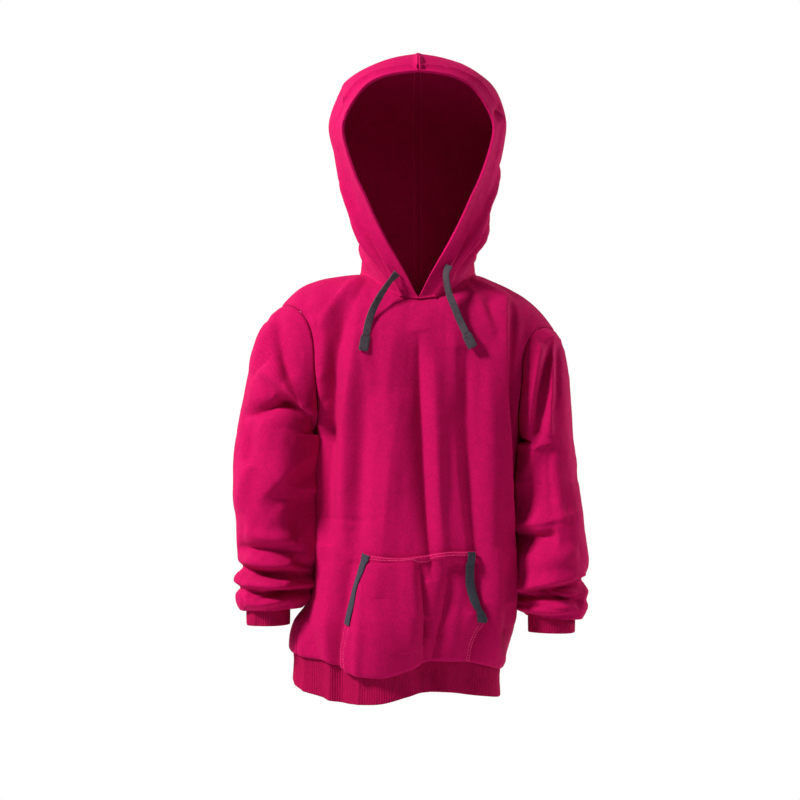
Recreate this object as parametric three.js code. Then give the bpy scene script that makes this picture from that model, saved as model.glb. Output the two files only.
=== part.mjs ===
// A child's pullover hoodie in sweatshirt fleece, hood up, hanging hollow in the round as it does when worn.
// Millimetres, +Z up. The front faces -Y, and the wearer's left side is at +X. The origin is at the base of
// the neck, midway between the two shoulder seams' upper ends, where the shoulders carry the weight.
import * as THREE from "three";

// Driving sizes of the cloth
const CLOTH = 2; // wall of the fleece
const RIB_CLOTH = 2; // wall of the rib knit between its ridges
const RIB_RIDGE = 0.7; // height of a rib over that wall
const TURNED_HEM = 3.4; // wall where the hood's front edge is turned back for the cord
const SEAM_GAP = 0.3; // between pieces that are sewn together
const SEAM_SLACK = 0.08; // added to half a seam's gap, for the walls' corners
const LAID_GAP = 0.5; // between a panel and what is sewn on it
const POCKET_GAP = 1.6; // between the front panel and the pocket's edges

// Driving sizes of the cut
const NECK_HALF = 70; // half the neck opening, at the shoulder seams
const SHOULDER_TIP = 171; // half the width over both shoulder seams
const UNDERARM_HALF = 128; // half the width between the underarm points
const UNDERARM_LEFT = -192;
const UNDERARM_RIGHT = -202;
const SHOULDER_ROUND = 95; // height over which the body rounds over the shoulders
const SHOULDER_SEAM_Y = 5; // the shoulder seams lie this far behind the origin
const ARMHOLE_WRAP = 54; // degrees from the middle of a panel to its armhole edge
const ARMHOLE_SWEEP = 2.2; // how fast the armhole swings out to the shoulder tip
const FULLNESS = 0.82; // exponent of the body's oval sections: below 1 they are fuller at the corners
const NECK_DIP = 2.4; // exponent of the neckline's curve from its middle to the shoulder seams
const RIM_INWARD = 4.5; // the cloth blouses this far out over the hem rib
const RIM_TURN = [
  { inward: 1.2, lower: -3.2 },
  { inward: RIM_INWARD, lower: -4 },
];
const FOLD_FADE_SIDES = 0.2; // share of half a panel's width over which its folds fade at the seams
const FOLD_FADE_TOP = 0.5; // part of the rounding over the shoulders where they fade at the neckline
const CUFF_SHOWN = 30; // height of a cuff below the sleeve's turned edge
const CUFF_PROFILE = [
  { down: 0, inward: 1.4 },
  { down: 10, inward: 3.2 },
  { down: CUFF_SHOWN - 1.2, inward: 3.2 },
  { down: CUFF_SHOWN, inward: 3 },
];
const HEM_PROFILE = [
  { share: 0, inward: RIB_RIDGE },
  { share: 0.3, inward: 2 },
  { share: 1, inward: 1 },
];
const HEM_MIDDLE = -474; // height of the hem seam at the middle of the front
const HEM_RIBS = 124;
const CUFF_RIBS = 34;

// Numbers of cells in each panel's net of points
const ROUND_ROWS = 6;
const ARMHOLE_ROWS = 5;
const BODY_ROWS = 14;
const NECK_COLUMNS = 6;
const FRONT_SHOULDER_COLUMNS = 7;
const BACK_SHOULDER_COLUMNS = 3;
const HOOD_ROWS = 17;
const SLEEVE_SHAPE_RINGS = 5; // rings over which a sleeve changes from the armhole's shape to ovals
const POCKET_COLUMNS = 16;
const CORD_STEPS = 14;

// Ridge line of the shoulders, seen from the front
const SHOULDER_LINE = [
  { x: -176, z: -41 },
  { x: -166, z: -27 },
  { x: -147, z: -10 },
  { x: -126, z: -1 },
  { x: -102, z: 4 },
  { x: -72, z: 7 },
  { x: 0, z: 7 },
  { x: 72, z: 6 },
  { x: 95, z: -2 },
  { x: 116, z: -12 },
  { x: 137, z: -25 },
  { x: 155, z: -42 },
  { x: 176, z: -70 },
];

// The body from the underarm down: its sides, its depth in front and behind, and where its side seams lie,
// in degrees round from the middle of the front
const BODY = [
  { z: -200, left: -128, right: 128, front: 86, back: 78, leftSeam: -90, rightSeam: 90 },
  { z: -232, left: -129, right: 126, front: 87, back: 79, leftSeam: -89, rightSeam: 90 },
  { z: -270, left: -129.5, right: 124.5, front: 88, back: 80, leftSeam: -87, rightSeam: 90 },
  { z: -330, left: -130.5, right: 124.5, front: 93, back: 83, leftSeam: -82, rightSeam: 91 },
  { z: -380, left: -133, right: 124.5, front: 97, back: 85, leftSeam: -75, rightSeam: 92 },
  { z: -405, left: -140, right: 124, front: 99, back: 86, leftSeam: -72, rightSeam: 93 },
  { z: -425, left: -155, right: 122, front: 101, back: 87, leftSeam: -69, rightSeam: 93 },
  { z: -450, left: -161, right: 117, front: 101, back: 87, leftSeam: -67, rightSeam: 94 },
  { z: -486, left: -160, right: 106, front: 97, back: 84, leftSeam: -66, rightSeam: 94 },
];

// Round the bottom, from the middle of the back by the wearer's right: where the cloth meets the rib, and
// the rib's own lower edge
const HEM = [
  { angle: -180, seam: -470, edge: -508 },
  { angle: -135, seam: -464, edge: -502 },
  { angle: -90, seam: -458, edge: -497 },
  { angle: -62, seam: -463, edge: -507 },
  { angle: -35, seam: -474, edge: -518 },
  { angle: -15, seam: -480, edge: -520 },
  { angle: 8, seam: -472, edge: -510 },
  { angle: 25, seam: -468, edge: -506 },
  { angle: 50, seam: -471, edge: -513 },
  { angle: 75, seam: -479, edge: -518 },
  { angle: 110, seam: -480, edge: -517 },
  { angle: 145, seam: -475, edge: -512 },
  { angle: 180, seam: -470, edge: -508 },
];

// Each sleeve from the armhole to the cuff. Every section is an oval across the line from its outer point to
// its inner point, given as distances out from the middle of the body and heights.
const LEFT_SLEEVE = [
  { outer: 183, outerZ: -48, inner: 133, innerZ: -194, y: 4, deep: 56 },
  { outer: 194, outerZ: -74, inner: 136, innerZ: -200, y: 4, deep: 58 },
  { outer: 205, outerZ: -108, inner: 136, innerZ: -210, y: 3, deep: 58 },
  { outer: 216, outerZ: -146, inner: 135.5, innerZ: -227, y: 1, deep: 56 },
  { outer: 226, outerZ: -186, inner: 135, innerZ: -248, y: -2, deep: 54 },
  { outer: 230, outerZ: -226, inner: 134, innerZ: -272, y: -5, deep: 53 },
  { outer: 230, outerZ: -266, inner: 134, innerZ: -300, y: -9, deep: 52 },
  { outer: 227, outerZ: -304, inner: 135, innerZ: -326, y: -12, deep: 50 },
  { outer: 225, outerZ: -336, inner: 136, innerZ: -347, y: -15, deep: 47 },
  { outer: 224, outerZ: -349, inner: 137, innerZ: -358, y: -16, deep: 46 },
  { outer: 218, outerZ: -357, inner: 141, innerZ: -365, y: -17, deep: 41 },
  { outer: 227, outerZ: -366, inner: 138, innerZ: -373, y: -18, deep: 45 },
  { outer: 229, outerZ: -375, inner: 138, innerZ: -380, y: -19, deep: 46 },
  { outer: 221, outerZ: -382, inner: 143, innerZ: -386, y: -20, deep: 41 },
  { outer: 227, outerZ: -390, inner: 143, innerZ: -392, y: -21, deep: 43 },
  { outer: 226, outerZ: -400, inner: 147, innerZ: -399, y: -22, deep: 42 },
  { outer: 222, outerZ: -408, inner: 153, innerZ: -406, y: -23, deep: 38 },
  { outer: 220, outerZ: -410, inner: 156, innerZ: -408, y: -23, deep: 35 },
  { outer: 217, outerZ: -408, inner: 159, innerZ: -406, y: -23, deep: 32 },
  { outer: 215.5, outerZ: -398, inner: 160.5, innerZ: -398, y: -23, deep: 30.5 },
];
const RIGHT_SLEEVE = [
  { outer: 177, outerZ: -80, inner: 133, innerZ: -204, y: 4, deep: 56 },
  { outer: 181, outerZ: -102, inner: 134, innerZ: -210, y: 4, deep: 59 },
  { outer: 185, outerZ: -131, inner: 133, innerZ: -220, y: 3, deep: 60 },
  { outer: 190, outerZ: -166, inner: 132, innerZ: -237, y: 1, deep: 60 },
  { outer: 195, outerZ: -204, inner: 130, innerZ: -258, y: -2, deep: 59 },
  { outer: 199, outerZ: -244, inner: 129, innerZ: -283, y: -5, deep: 58 },
  { outer: 204, outerZ: -284, inner: 128.5, innerZ: -310, y: -9, deep: 56 },
  { outer: 209, outerZ: -322, inner: 128.5, innerZ: -341, y: -12, deep: 54 },
  { outer: 212, outerZ: -350, inner: 128.5, innerZ: -367, y: -15, deep: 52 },
  { outer: 209, outerZ: -364, inner: 129, innerZ: -382, y: -17, deep: 49 },
  { outer: 201, outerZ: -369, inner: 133, innerZ: -389, y: -18, deep: 42 },
  { outer: 206, outerZ: -377, inner: 131, innerZ: -394, y: -19, deep: 44 },
  { outer: 212, outerZ: -387, inner: 129, innerZ: -400, y: -20, deep: 47 },
  { outer: 209, outerZ: -397, inner: 133, innerZ: -404, y: -21, deep: 43 },
  { outer: 211, outerZ: -406, inner: 134, innerZ: -409, y: -22, deep: 42 },
  { outer: 206, outerZ: -418, inner: 140, innerZ: -414, y: -23, deep: 38 },
  { outer: 203, outerZ: -421, inner: 142, innerZ: -417, y: -23, deep: 35 },
  { outer: 199, outerZ: -418, inner: 144, innerZ: -415, y: -23, deep: 32 },
  { outer: 197.5, outerZ: -408, inner: 142.5, innerZ: -407, y: -23, deep: 30.5 },
];

// The hood from the neck seam (up 0) to the top (up 1): its front edge, its half width at the side, and the
// seam that joins its halves behind. Rise is how steeply a row climbs behind the front edge.
const HOOD = [
  { up: 0, edgeX: 2.4, edgeY: -62, edgeZ: -18, wide: 71, seamY: 55, seamZ: -8, rise: 1 },
  { up: 0.08, edgeX: 18, edgeY: -69, edgeZ: 12, wide: 71, seamY: 58, seamZ: 14, rise: 1 },
  { up: 0.17, edgeX: 37, edgeY: -73, edgeZ: 44, wide: 73, seamY: 66, seamZ: 40, rise: 1 },
  { up: 0.25, edgeX: 51, edgeY: -73, edgeZ: 71, wide: 78, seamY: 77, seamZ: 66, rise: 1 },
  { up: 0.34, edgeX: 64, edgeY: -70, edgeZ: 100, wide: 85, seamY: 89, seamZ: 96, rise: 1 },
  { up: 0.42, edgeX: 75, edgeY: -65, edgeZ: 124, wide: 93, seamY: 99, seamZ: 124, rise: 1.1 },
  { up: 0.53, edgeX: 87, edgeY: -59, edgeZ: 160, wide: 104, seamY: 108, seamZ: 166, rise: 1.2 },
  { up: 0.61, edgeX: 91, edgeY: -58, edgeZ: 183, wide: 109, seamY: 109, seamZ: 194, rise: 1.4 },
  { up: 0.67, edgeX: 87, edgeY: -60, edgeZ: 199, wide: 107, seamY: 104, seamZ: 216, rise: 1.6 },
  { up: 0.74, edgeX: 76, edgeY: -66, edgeZ: 218, wide: 98, seamY: 90, seamZ: 240, rise: 2 },
  { up: 0.81, edgeX: 62, edgeY: -74, edgeZ: 233, wide: 82, seamY: 68, seamZ: 259, rise: 2.4 },
  { up: 0.88, edgeX: 43, edgeY: -81, edgeZ: 242, wide: 58, seamY: 40, seamZ: 271, rise: 2.8 },
  { up: 0.94, edgeX: 22, edgeY: -85, edgeZ: 246, wide: 30, seamY: 8, seamZ: 277, rise: 3 },
  { up: 1, edgeX: 0, edgeY: -87, edgeZ: 248, wide: 0, seamY: -28, seamZ: 277, rise: 3 },
];
const HOOD_SEAM_HALF = 0.25; // from the middle to each half at their seam
const HOOD_HEM_SHARE = 0.11; // share of a hood row that the turned front hem takes
const HOOD_NECK_FIT = 0.24; // part of the hood's height over which it leaves the neckline's shape
const HOOD_BACK_SHARES = [0.2, 0.32, 0.44, 0.56, 0.67, 0.78, 0.87, 0.94, 1];

// The pocket: its left and right edges down the front. The openings are its upper, slanting edges.
const POCKET = [
  { z: -337, left: -65, right: 67 },
  { z: -362, left: -69, right: 68 },
  { z: -385, left: -77, right: 71 },
  { z: -408, left: -84, right: 78 },
  { z: -421, left: -87, right: 84 },
  { z: -438, left: -91, right: 76 },
  { z: -455, left: -95, right: 70 },
  { z: -480, left: -94, right: 66 },
];
const POCKET_ROWS = [-337, -345, -362, -376, -390, -404, -414, -421, -430, -438, -447, -456, -464, -471];
const POCKET_OPENING_END = -421;
const POCKET_BOTTOM = 0.985; // share of the way down the body where the pocket is caught in the hem seam
const POCKET_CLOTH = 1.8;
const POCKET_BELLY = 2.4; // how much further the pocket's middle stands off the panel than its edges
const BINDING_LIP = 1.2; // how far the binding reaches past the pocket's edge
const BINDING_WIDTH = 11;
const BINDING_CLOTH = 1.2;

// Drawcords: flat tapes from a buttonhole in the hood's hem down the chest. Turn is the degrees by which the
// flat side turns away from the front.
const CORD_WIDTH = 9;
const CORD_THICK = 2.2;
const CORD_END = {
  width: 12,
  thick: 4,
  height: 19,
  profile: [
    { down: 0, width: 0.86 },
    { down: 0.12, width: 0.94 },
    { down: 0.85, width: 1.04 },
    { down: 1, width: 0.96 },
  ],
};
const LEFT_CORD = [
  { x: -26, y: -68.3, z: 5, turn: 18 },
  { x: -33, y: -71.5, z: -3, turn: 48 },
  { x: -41, y: -73.5, z: -14, turn: 42 },
  { x: -49, y: -74.5, z: -27, turn: 28 },
  { x: -56, y: -75, z: -41, turn: 15 },
  { x: -61, y: -75.8, z: -56, turn: 8 },
  { x: -64, y: -77, z: -71, turn: 4 },
];
const RIGHT_CORD = [
  { x: 37.5, y: -68.1, z: 14.5, turn: -8 },
  { x: 34, y: -70.5, z: 5, turn: -34 },
  { x: 34.5, y: -72.5, z: -7, turn: -38 },
  { x: 38, y: -73.5, z: -22, turn: -28 },
  { x: 44, y: -75, z: -37, turn: -22 },
  { x: 50, y: -77, z: -52, turn: -18 },
  { x: 58, y: -80, z: -69, turn: -16 },
];

// Folds. Each runs along a slightly bowed line between two places and fades at both ends. Height is how far
// it stands out of the cloth, or in if negative. Soft and steep are its widths to either side.
const FRONT_FOLDS = [
  { name: "right of the chest", from: [96, -14], to: [90, -420], bow: 5, height: 10, soft: 24, steep: 13 },
  { name: "left side", from: [-112, -14], to: [-120, -400], bow: -4, height: 8, soft: 12, steep: 14 },
  { name: "left of the neck", from: [-76, 0], to: [-98, -340], bow: -12, height: -7, soft: 12, steep: 12 },
  { name: "left of the chest", from: [-64, -30], to: [-58, -340], bow: 5, height: 5, soft: 16, steep: 18 },
  { name: "down the middle", from: [4, -50], to: [-12, -250], bow: 3, height: -4, soft: 12, steep: 18 },
  { name: "over the pocket", from: [-18, -180], to: [-42, -420], bow: 4, height: 6, soft: 18, steep: 18 },
  { name: "right of the middle", from: [36, -110], to: [24, -345], bow: 4, height: -5, soft: 10, steep: 14 },
  { name: "in the pocket", from: [30, -330], to: [14, -486], bow: 4, height: -11, soft: 16, steep: 16 },
  { name: "belly of the pocket", from: [-46, -380], to: [-46, -500], bow: 0, height: 8, soft: 30, steep: 30 },
  { name: "beside the pocket", from: [74, -200], to: [78, -480], bow: 0, height: 4, soft: 20, steep: 20 },
  { name: "right of the neck", from: [70, 2], to: [112, -52], bow: 4, height: 4, soft: 9, steep: 9 },
];
const BACK_FOLDS = [
  { name: "right of the back", from: [66, -110], to: [78, -460], bow: 5, height: 8, soft: 20, steep: 14 },
  { name: "middle of the back", from: [8, -140], to: [-6, -450], bow: -5, height: -6, soft: 20, steep: 20 },
  { name: "left of the back", from: [-62, -120], to: [-84, -460], bow: -6, height: 8, soft: 14, steep: 22 },
  { name: "left shoulder", from: [-96, -60], to: [-112, -330], bow: -4, height: -5, soft: 12, steep: 12 },
];
// A place on a sleeve is degrees round from its outer side by the front, and a section from the armhole.
const SLEEVE_MM_A_DEGREE = 0.9;
const SLEEVE_MM_A_SECTION = 22;
const FOLD_START_ANGLE = -15; // folds on the front may start this far behind the outer side
const LEFT_SLEEVE_FOLDS = [
  { name: "fold over the elbow", from: [28, 3.2], to: [150, 5.4], bow: 9, height: 8, soft: 9, steep: 16 },
  { name: "crease under it", from: [-25, 5.1], to: [115, 4.6], bow: 3, height: -12, soft: 10, steep: 7 },
  { name: "below the elbow", from: [35, 7.6], to: [140, 6.2], bow: 0, height: 4, soft: 14, steep: 10 },
  { name: "upper front", from: [70, 0.6], to: [95, 3.8], bow: 4, height: -5, soft: 12, steep: 12 },
  { name: "behind the elbow", from: [215, 3.4], to: [330, 4.6], bow: 5, height: -8, soft: 9, steep: 12 },
  { name: "behind the forearm", from: [200, 6.6], to: [320, 6], bow: -4, height: 6, soft: 12, steep: 9 },
];
const RIGHT_SLEEVE_FOLDS = [
  { name: "front ridge", from: [62, 0.5], to: [84, 5], bow: -6, height: 8, soft: 10, steep: 8 },
  { name: "second ridge", from: [24, 0.2], to: [36, 3.6], bow: 3, height: 5, soft: 9, steep: 8 },
  { name: "inner forearm", from: [60, 6.3], to: [135, 7], bow: 4, height: -6, soft: 10, steep: 12 },
  { name: "behind the elbow", from: [205, 4.2], to: [325, 5], bow: 5, height: -8, soft: 9, steep: 12 },
  { name: "behind the upper arm", from: [250, 0.8], to: [262, 4], bow: 4, height: 6, soft: 11, steep: 11 },
];
// A place on the hood is a distance back from its front edge and a distance up from the neck seam.
const HOOD_MM_BACK = 230;
const HOOD_MM_UP = 320;
const LEFT_HOOD_FOLDS = [
  { name: "cord to the jaw", from: [32, 8], to: [72, 150], bow: 8, height: 5, soft: 9, steep: 12 },
  { name: "hollow behind it", from: [70, 0], to: [110, 120], bow: 6, height: -5, soft: 13, steep: 13 },
  { name: "dent at the temple", from: [6, 214], to: [70, 250], bow: 3, height: -6, soft: 14, steep: 12 },
  { name: "slouch at the nape", from: [120, 50], to: [228, 78], bow: -8, height: 7, soft: 16, steep: 12 },
  { name: "crease over the nape", from: [110, 92], to: [226, 112], bow: -6, height: -6, soft: 12, steep: 14 },
];
const RIGHT_HOOD_FOLDS = [
  { name: "cord to the jaw", from: [38, 22], to: [76, 140], bow: 6, height: 6, soft: 9, steep: 9 },
  { name: "second fold to the jaw", from: [66, 6], to: [96, 110], bow: 6, height: 5, soft: 9, steep: 10 },
  { name: "dent at the temple", from: [0, 208], to: [62, 236], bow: -3, height: -7, soft: 10, steep: 10 },
  { name: "slouch at the nape", from: [120, 46], to: [228, 70], bow: -8, height: 7, soft: 14, steep: 14 },
  { name: "crease over the nape", from: [116, 86], to: [226, 108], bow: -6, height: -6, soft: 14, steep: 12 },
];

const RADIAN = Math.PI / 180;
const FORWARD = new THREE.Vector3(0, -1, 0);
const mix = THREE.MathUtils.lerp;
const sine = (degrees) => Math.sin(degrees * RADIAN);
const cosine = (degrees) => Math.cos(degrees * RADIAN);
const signedPower = (value, exponent) => Math.sign(value) * Math.abs(value) ** exponent;
const steps = (count) => Array.from({ length: count + 1 }, (_, i) => i / count);

// Reads a column of a table at any value of its key, on a smooth curve through the rows.
function read(table, key, at, column) {
  const last = table.length - 1;
  const direction = Math.sign(table[last][key] - table[0][key]);
  if ((at - table[0][key]) * direction <= 0) return table[0][column];
  if ((at - table[last][key]) * direction >= 0) return table[last][column];
  let i = 0;
  while ((at - table[i + 1][key]) * direction > 0) i += 1;
  const slope = (k) => {
    const before = table[Math.max(k - 1, 0)];
    const after = table[Math.min(k + 1, last)];
    return (after[column] - before[column]) / (after[key] - before[key]);
  };
  const span = table[i + 1][key] - table[i][key];
  const t = (at - table[i][key]) / span;
  const near = table[i][column] * (1 + 2 * t) * (1 - t) ** 2 + slope(i) * span * t * (1 - t) ** 2;
  const far = table[i + 1][column] * t * t * (3 - 2 * t) - slope(i + 1) * span * t * t * (1 - t);
  return near + far;
}

// How far the folds lift the cloth at a place given by two distances.
function foldLift(folds, across, along) {
  let lift = 0;
  for (const { from, to, bow, height, soft, steep } of folds) {
    const [dx, dy] = [to[0] - from[0], to[1] - from[1]];
    const length = Math.hypot(dx, dy);
    const t = ((across - from[0]) * dx + (along - from[1]) * dy) / length ** 2;
    if (t <= 0 || t >= 1) continue;
    const fade = 4 * t * (1 - t);
    const off = ((across - from[0]) * dy - (along - from[1]) * dx) / length - bow * fade;
    lift += height * Math.sqrt(fade) * Math.exp(-((off / (off > 0 ? soft : steep)) ** 2));
  }
  return lift;
}

// The outward normals of a net of points, whose rows run down and whose columns run anticlockwise from above.
// At its edges a normal is carried on from the cells beside it, so that two pieces meet squarely at a seam.
function normals(net, closed) {
  const rows = net.length;
  const columns = net[0].length;
  const inner = net.map((row, r) =>
    row.map((_, c) => {
      const left = closed ? (c + columns - 1) % columns : Math.max(c - 1, 0);
      const right = closed ? (c + 1) % columns : Math.min(c + 1, columns - 1);
      const across = row[right].clone().sub(row[left]);
      const down = net[Math.min(r + 1, rows - 1)][c].clone().sub(net[Math.max(r - 1, 0)][c]);
      return down.cross(across).normalize();
    }),
  );
  const carried = (edge, next) => edge.clone().multiplyScalar(2).sub(next).normalize();
  return inner.map((row, r) =>
    row.map((normal, c) => {
      if (r === 0) return carried(normal, inner[1][c]);
      if (closed) return normal;
      if (c === 0) return carried(normal, row[1]);
      return c === columns - 1 ? carried(normal, row[columns - 2]) : normal;
    }),
  );
}

// Moves every point of a net along its normal.
function moved(net, closed, distance) {
  const normal = normals(net, closed);
  return net.map((row, r) => row.map((p, c) => p.clone().addScaledVector(normal[r][c], distance(r, c))));
}

// Draws the edges of a net in by half a seam's gap, so that two pieces sewn together don't touch.
function trimmed(net, { top = true, bottom = true, sides = true } = {}) {
  const made = net.map((row) => row.map((p) => p.clone()));
  const rows = net.length;
  const columns = net[0].length;
  const draw = (r, c, towardRow, towardColumn) => {
    const way = net[towardRow][towardColumn].clone().sub(net[r][c]);
    if (way.length() > SEAM_GAP) made[r][c].addScaledVector(way.normalize(), SEAM_GAP / 2 + SEAM_SLACK);
  };
  for (let c = 0; c < columns; c += 1) {
    if (top) draw(0, c, 1, c);
    if (bottom) draw(rows - 1, c, rows - 2, c);
  }
  for (let r = 0; sides && r < rows; r += 1) {
    draw(r, 0, r, 1);
    draw(r, columns - 1, r, columns - 2);
  }
  return made;
}

function geometryOf(points, triangles) {
  const geometry = new THREE.BufferGeometry().setFromPoints(points);
  geometry.setIndex(triangles);
  geometry.computeVertexNormals();
  return geometry;
}

// A wall between an outer and an inner net, closed round its edges. Outer rings may have more points than
// inner ones, a whole number of times.
function wall(outer, inner, closed) {
  const points = [...outer.flat(), ...inner.flat()];
  const rows = outer.length;
  const innerRows = inner.length;
  const columns = outer[0].length;
  const innerColumns = inner[0].length;
  const times = closed ? columns / innerColumns : 1;
  const triangles = [];
  const outside = (r, c) => r * columns + (closed ? c % columns : c);
  const inside = (r, c) => rows * columns + r * innerColumns + (closed ? c % innerColumns : c);
  const quad = (a, b, c, d) => triangles.push(a, b, c, a, c, d);
  const across = closed ? columns : columns - 1;
  const innerAcross = closed ? innerColumns : innerColumns - 1;
  for (let r = 0; r < rows - 1; r += 1)
    for (let c = 0; c < across; c += 1)
      quad(outside(r, c), outside(r + 1, c), outside(r + 1, c + 1), outside(r, c + 1));
  for (let r = 0; r < innerRows - 1; r += 1)
    for (let c = 0; c < innerAcross; c += 1)
      quad(inside(r, c), inside(r, c + 1), inside(r + 1, c + 1), inside(r + 1, c));
  for (let c = 0; c < innerAcross; c += 1) {
    for (let k = 0; k < times; k += 1) {
      const o = c * times + k;
      triangles.push(inside(0, c), outside(0, o), outside(0, o + 1));
      triangles.push(inside(innerRows - 1, c), outside(rows - 1, o + 1), outside(rows - 1, o));
    }
    const next = (c + 1) * times;
    triangles.push(inside(0, c), outside(0, next), inside(0, c + 1));
    triangles.push(inside(innerRows - 1, c), inside(innerRows - 1, c + 1), outside(rows - 1, next));
  }
  for (let r = 0; !closed && r < rows - 1; r += 1) {
    quad(outside(r, 0), inside(r, 0), inside(r + 1, 0), outside(r + 1, 0));
    const last = columns - 1;
    quad(outside(r, last), outside(r + 1, last), inside(r + 1, last), inside(r, last));
  }
  return geometryOf(points, triangles);
}

// A wall of even or changing thickness, inward from a net of outer points.
function clothWall(net, closed = false, thickness = () => CLOTH) {
  return wall(net, moved(net, closed, (r, c) => -thickness(r, c)), closed);
}

// The two panels of the body
const FRONT = {
  sign: -1,
  depth: "front",
  neckAngle: 42,
  shoulderColumns: FRONT_SHOULDER_COLUMNS,
  folds: FRONT_FOLDS,
};
const BACK = {
  sign: 1,
  depth: "back",
  neckAngle: 56,
  shoulderColumns: BACK_SHOULDER_COLUMNS,
  folds: BACK_FOLDS,
};
const SHOULDER_REACH = SHOULDER_TIP / sine(ARMHOLE_WRAP);
const NECK_SHARE = Math.asin(NECK_HALF / SHOULDER_REACH) / RADIAN / ARMHOLE_WRAP;

const underarmLevel = (x) => mix(UNDERARM_LEFT, UNDERARM_RIGHT, (x / UNDERARM_HALF + 1) / 2);

// A point of the body above the underarm. Share runs from -1 at the left edge to 1 at the right edge. Down is
// 0 on the shoulder seams and neckline, 1 where the rounding over the shoulders ends and 2 at the underarm.
function shoulderPoint(panel, share, down) {
  const round = Math.max(1 - down, 0);
  const below = Math.max(down - 1, 0) * 90;
  const edgeCosine = (cosine(ARMHOLE_WRAP) ** FULLNESS * cosine(below)) ** (1 / FULLNESS);
  const wrap = Math.acos(edgeCosine) / RADIAN;
  const sweep = sine(round * 90) ** ARMHOLE_SWEEP;
  const chest = mix(UNDERARM_HALF, SHOULDER_TIP, sweep) / sine(ARMHOLE_WRAP);
  const widening = THREE.MathUtils.smoothstep(1 - sine(below), 0, 1);
  const x = mix(UNDERARM_HALF, chest, widening) * sine(wrap * share);
  const inNeck = Math.min(Math.abs(share) / NECK_SHARE, 1);
  const top = mix(panel.neckAngle, 90, inNeck ** NECK_DIP);
  const roundStart = read(SHOULDER_LINE, "x", x, "z") - SHOULDER_ROUND;
  const height = roundStart + SHOULDER_ROUND * sine(round * top);
  const depth = BODY[0][panel.depth] * cosine(wrap * share) ** FULLNESS * cosine(round * top);
  const z = mix(height, underarmLevel(x), sine(below));
  return new THREE.Vector3(x, SHOULDER_SEAM_Y + panel.sign * depth, z);
}

// The body's level section at a height, at an angle round from the middle of the front.
function sectionPoint(z, angle) {
  const [left, right] = ["left", "right"].map((side) => read(BODY, "z", z, side));
  const depth = read(BODY, "z", z, cosine(angle) > 0 ? "front" : "back");
  const forward = depth * signedPower(cosine(angle), FULLNESS);
  return new THREE.Vector3(mix(left, right, (1 + sine(angle)) / 2), SHOULDER_SEAM_Y - forward, z);
}

// The angle round from the middle of the front of a place between a panel's two side seams.
function panelAngle(panel, share, z) {
  const [left, right] = ["leftSeam", "rightSeam"].map((seam) => read(BODY, "z", z, seam));
  if (panel.sign < 0) return mix(left, right, (share + 1) / 2);
  return mix(left, right - 360, (share + 1) / 2);
}

const wrapped = (angle) => ((((angle + 180) % 360) + 360) % 360) - 180;

// A point of the body before its folds, also below the underarm, where down goes on to 3 at the hem seam.
function plainPoint(panel, share, down) {
  if (down <= 2) return shoulderPoint(panel, share, down);
  const start = shoulderPoint(panel, share, 2).z;
  let z = start;
  for (let pass = 0; pass < 3; pass += 1) {
    const angle = panelAngle(panel, share, z);
    z = mix(start, read(HEM, "angle", wrapped(angle), "seam"), down - 2);
  }
  return sectionPoint(z, panelAngle(panel, share, z));
}

// A point of the body with its folds, which fade out at the neckline, seams and armholes.
function bodyPoint(panel, share, down) {
  const plain = plainPoint(panel, share, down);
  const edge = Math.min((1 - Math.abs(share)) / FOLD_FADE_SIDES, 1);
  const top = Math.min(down / FOLD_FADE_TOP, 1);
  const step = 0.01;
  const across = plainPoint(panel, Math.min(share + step, 1), down).sub(
    plainPoint(panel, Math.max(share - step, -1), down),
  );
  const downward = plainPoint(panel, share, down + step).sub(
    plainPoint(panel, share, Math.max(down - step, 0)),
  );
  const outward = downward.cross(across).multiplyScalar(-panel.sign).normalize();
  return plain.addScaledVector(outward, foldLift(panel.folds, plain.x, plain.z) * edge * top);
}

const DOWN_VALUES = [
  ...steps(ROUND_ROWS),
  ...steps(ARMHOLE_ROWS).slice(1).map((t) => 1 + t),
  ...steps(BODY_ROWS).slice(1).map((t) => 2 + t),
];

function shareValues(panel) {
  const outer = steps(panel.shoulderColumns).slice(1).map((t) => mix(NECK_SHARE, 1, t));
  const neck = steps(2 * NECK_COLUMNS).map((t) => mix(-NECK_SHARE, NECK_SHARE, t));
  return [...outer.map((share) => -share).reverse(), ...neck, ...outer];
}

// The cloth's lower edge turns in under itself to the hem rib's seam.
function turnedIn(net, closed) {
  const last = net[net.length - 1];
  const outward = normals(net, closed)[net.length - 1];
  const turns = RIM_TURN.map(({ inward, lower }) =>
    last.map((p, c) => {
      const way = outward[c].clone().setZ(0).normalize();
      return p.clone().addScaledVector(way, -inward).add(new THREE.Vector3(0, 0, lower));
    }),
  );
  return [...net, ...turns];
}

// A panel's net of points, its columns running anticlockwise as seen from above.
function panelNet(panel) {
  const shares = shareValues(panel);
  if (panel.sign > 0) shares.reverse();
  return turnedIn(
    DOWN_VALUES.map((down) => shares.map((share) => bodyPoint(panel, share, down))),
    false,
  );
}

const frontNet = panelNet(FRONT);
const backNet = panelNet(BACK);

// The closed loop of an armhole, from the shoulder tip down the front edge and up the back edge.
function armholeLoop(side) {
  const rows = ROUND_ROWS + ARMHOLE_ROWS;
  const column = (net, atRight) => net.slice(0, rows + 1).map((row) => row[atRight ? row.length - 1 : 0]);
  const front = column(frontNet, side > 0);
  const back = column(backNet, side < 0);
  return [...front, ...back.slice(1, rows).reverse()];
}

// A place on a sleeve, from degrees round and sections down to millimetres
const onSleeve = ([angle, section]) => [angle * SLEEVE_MM_A_DEGREE, section * SLEEVE_MM_A_SECTION];

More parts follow.
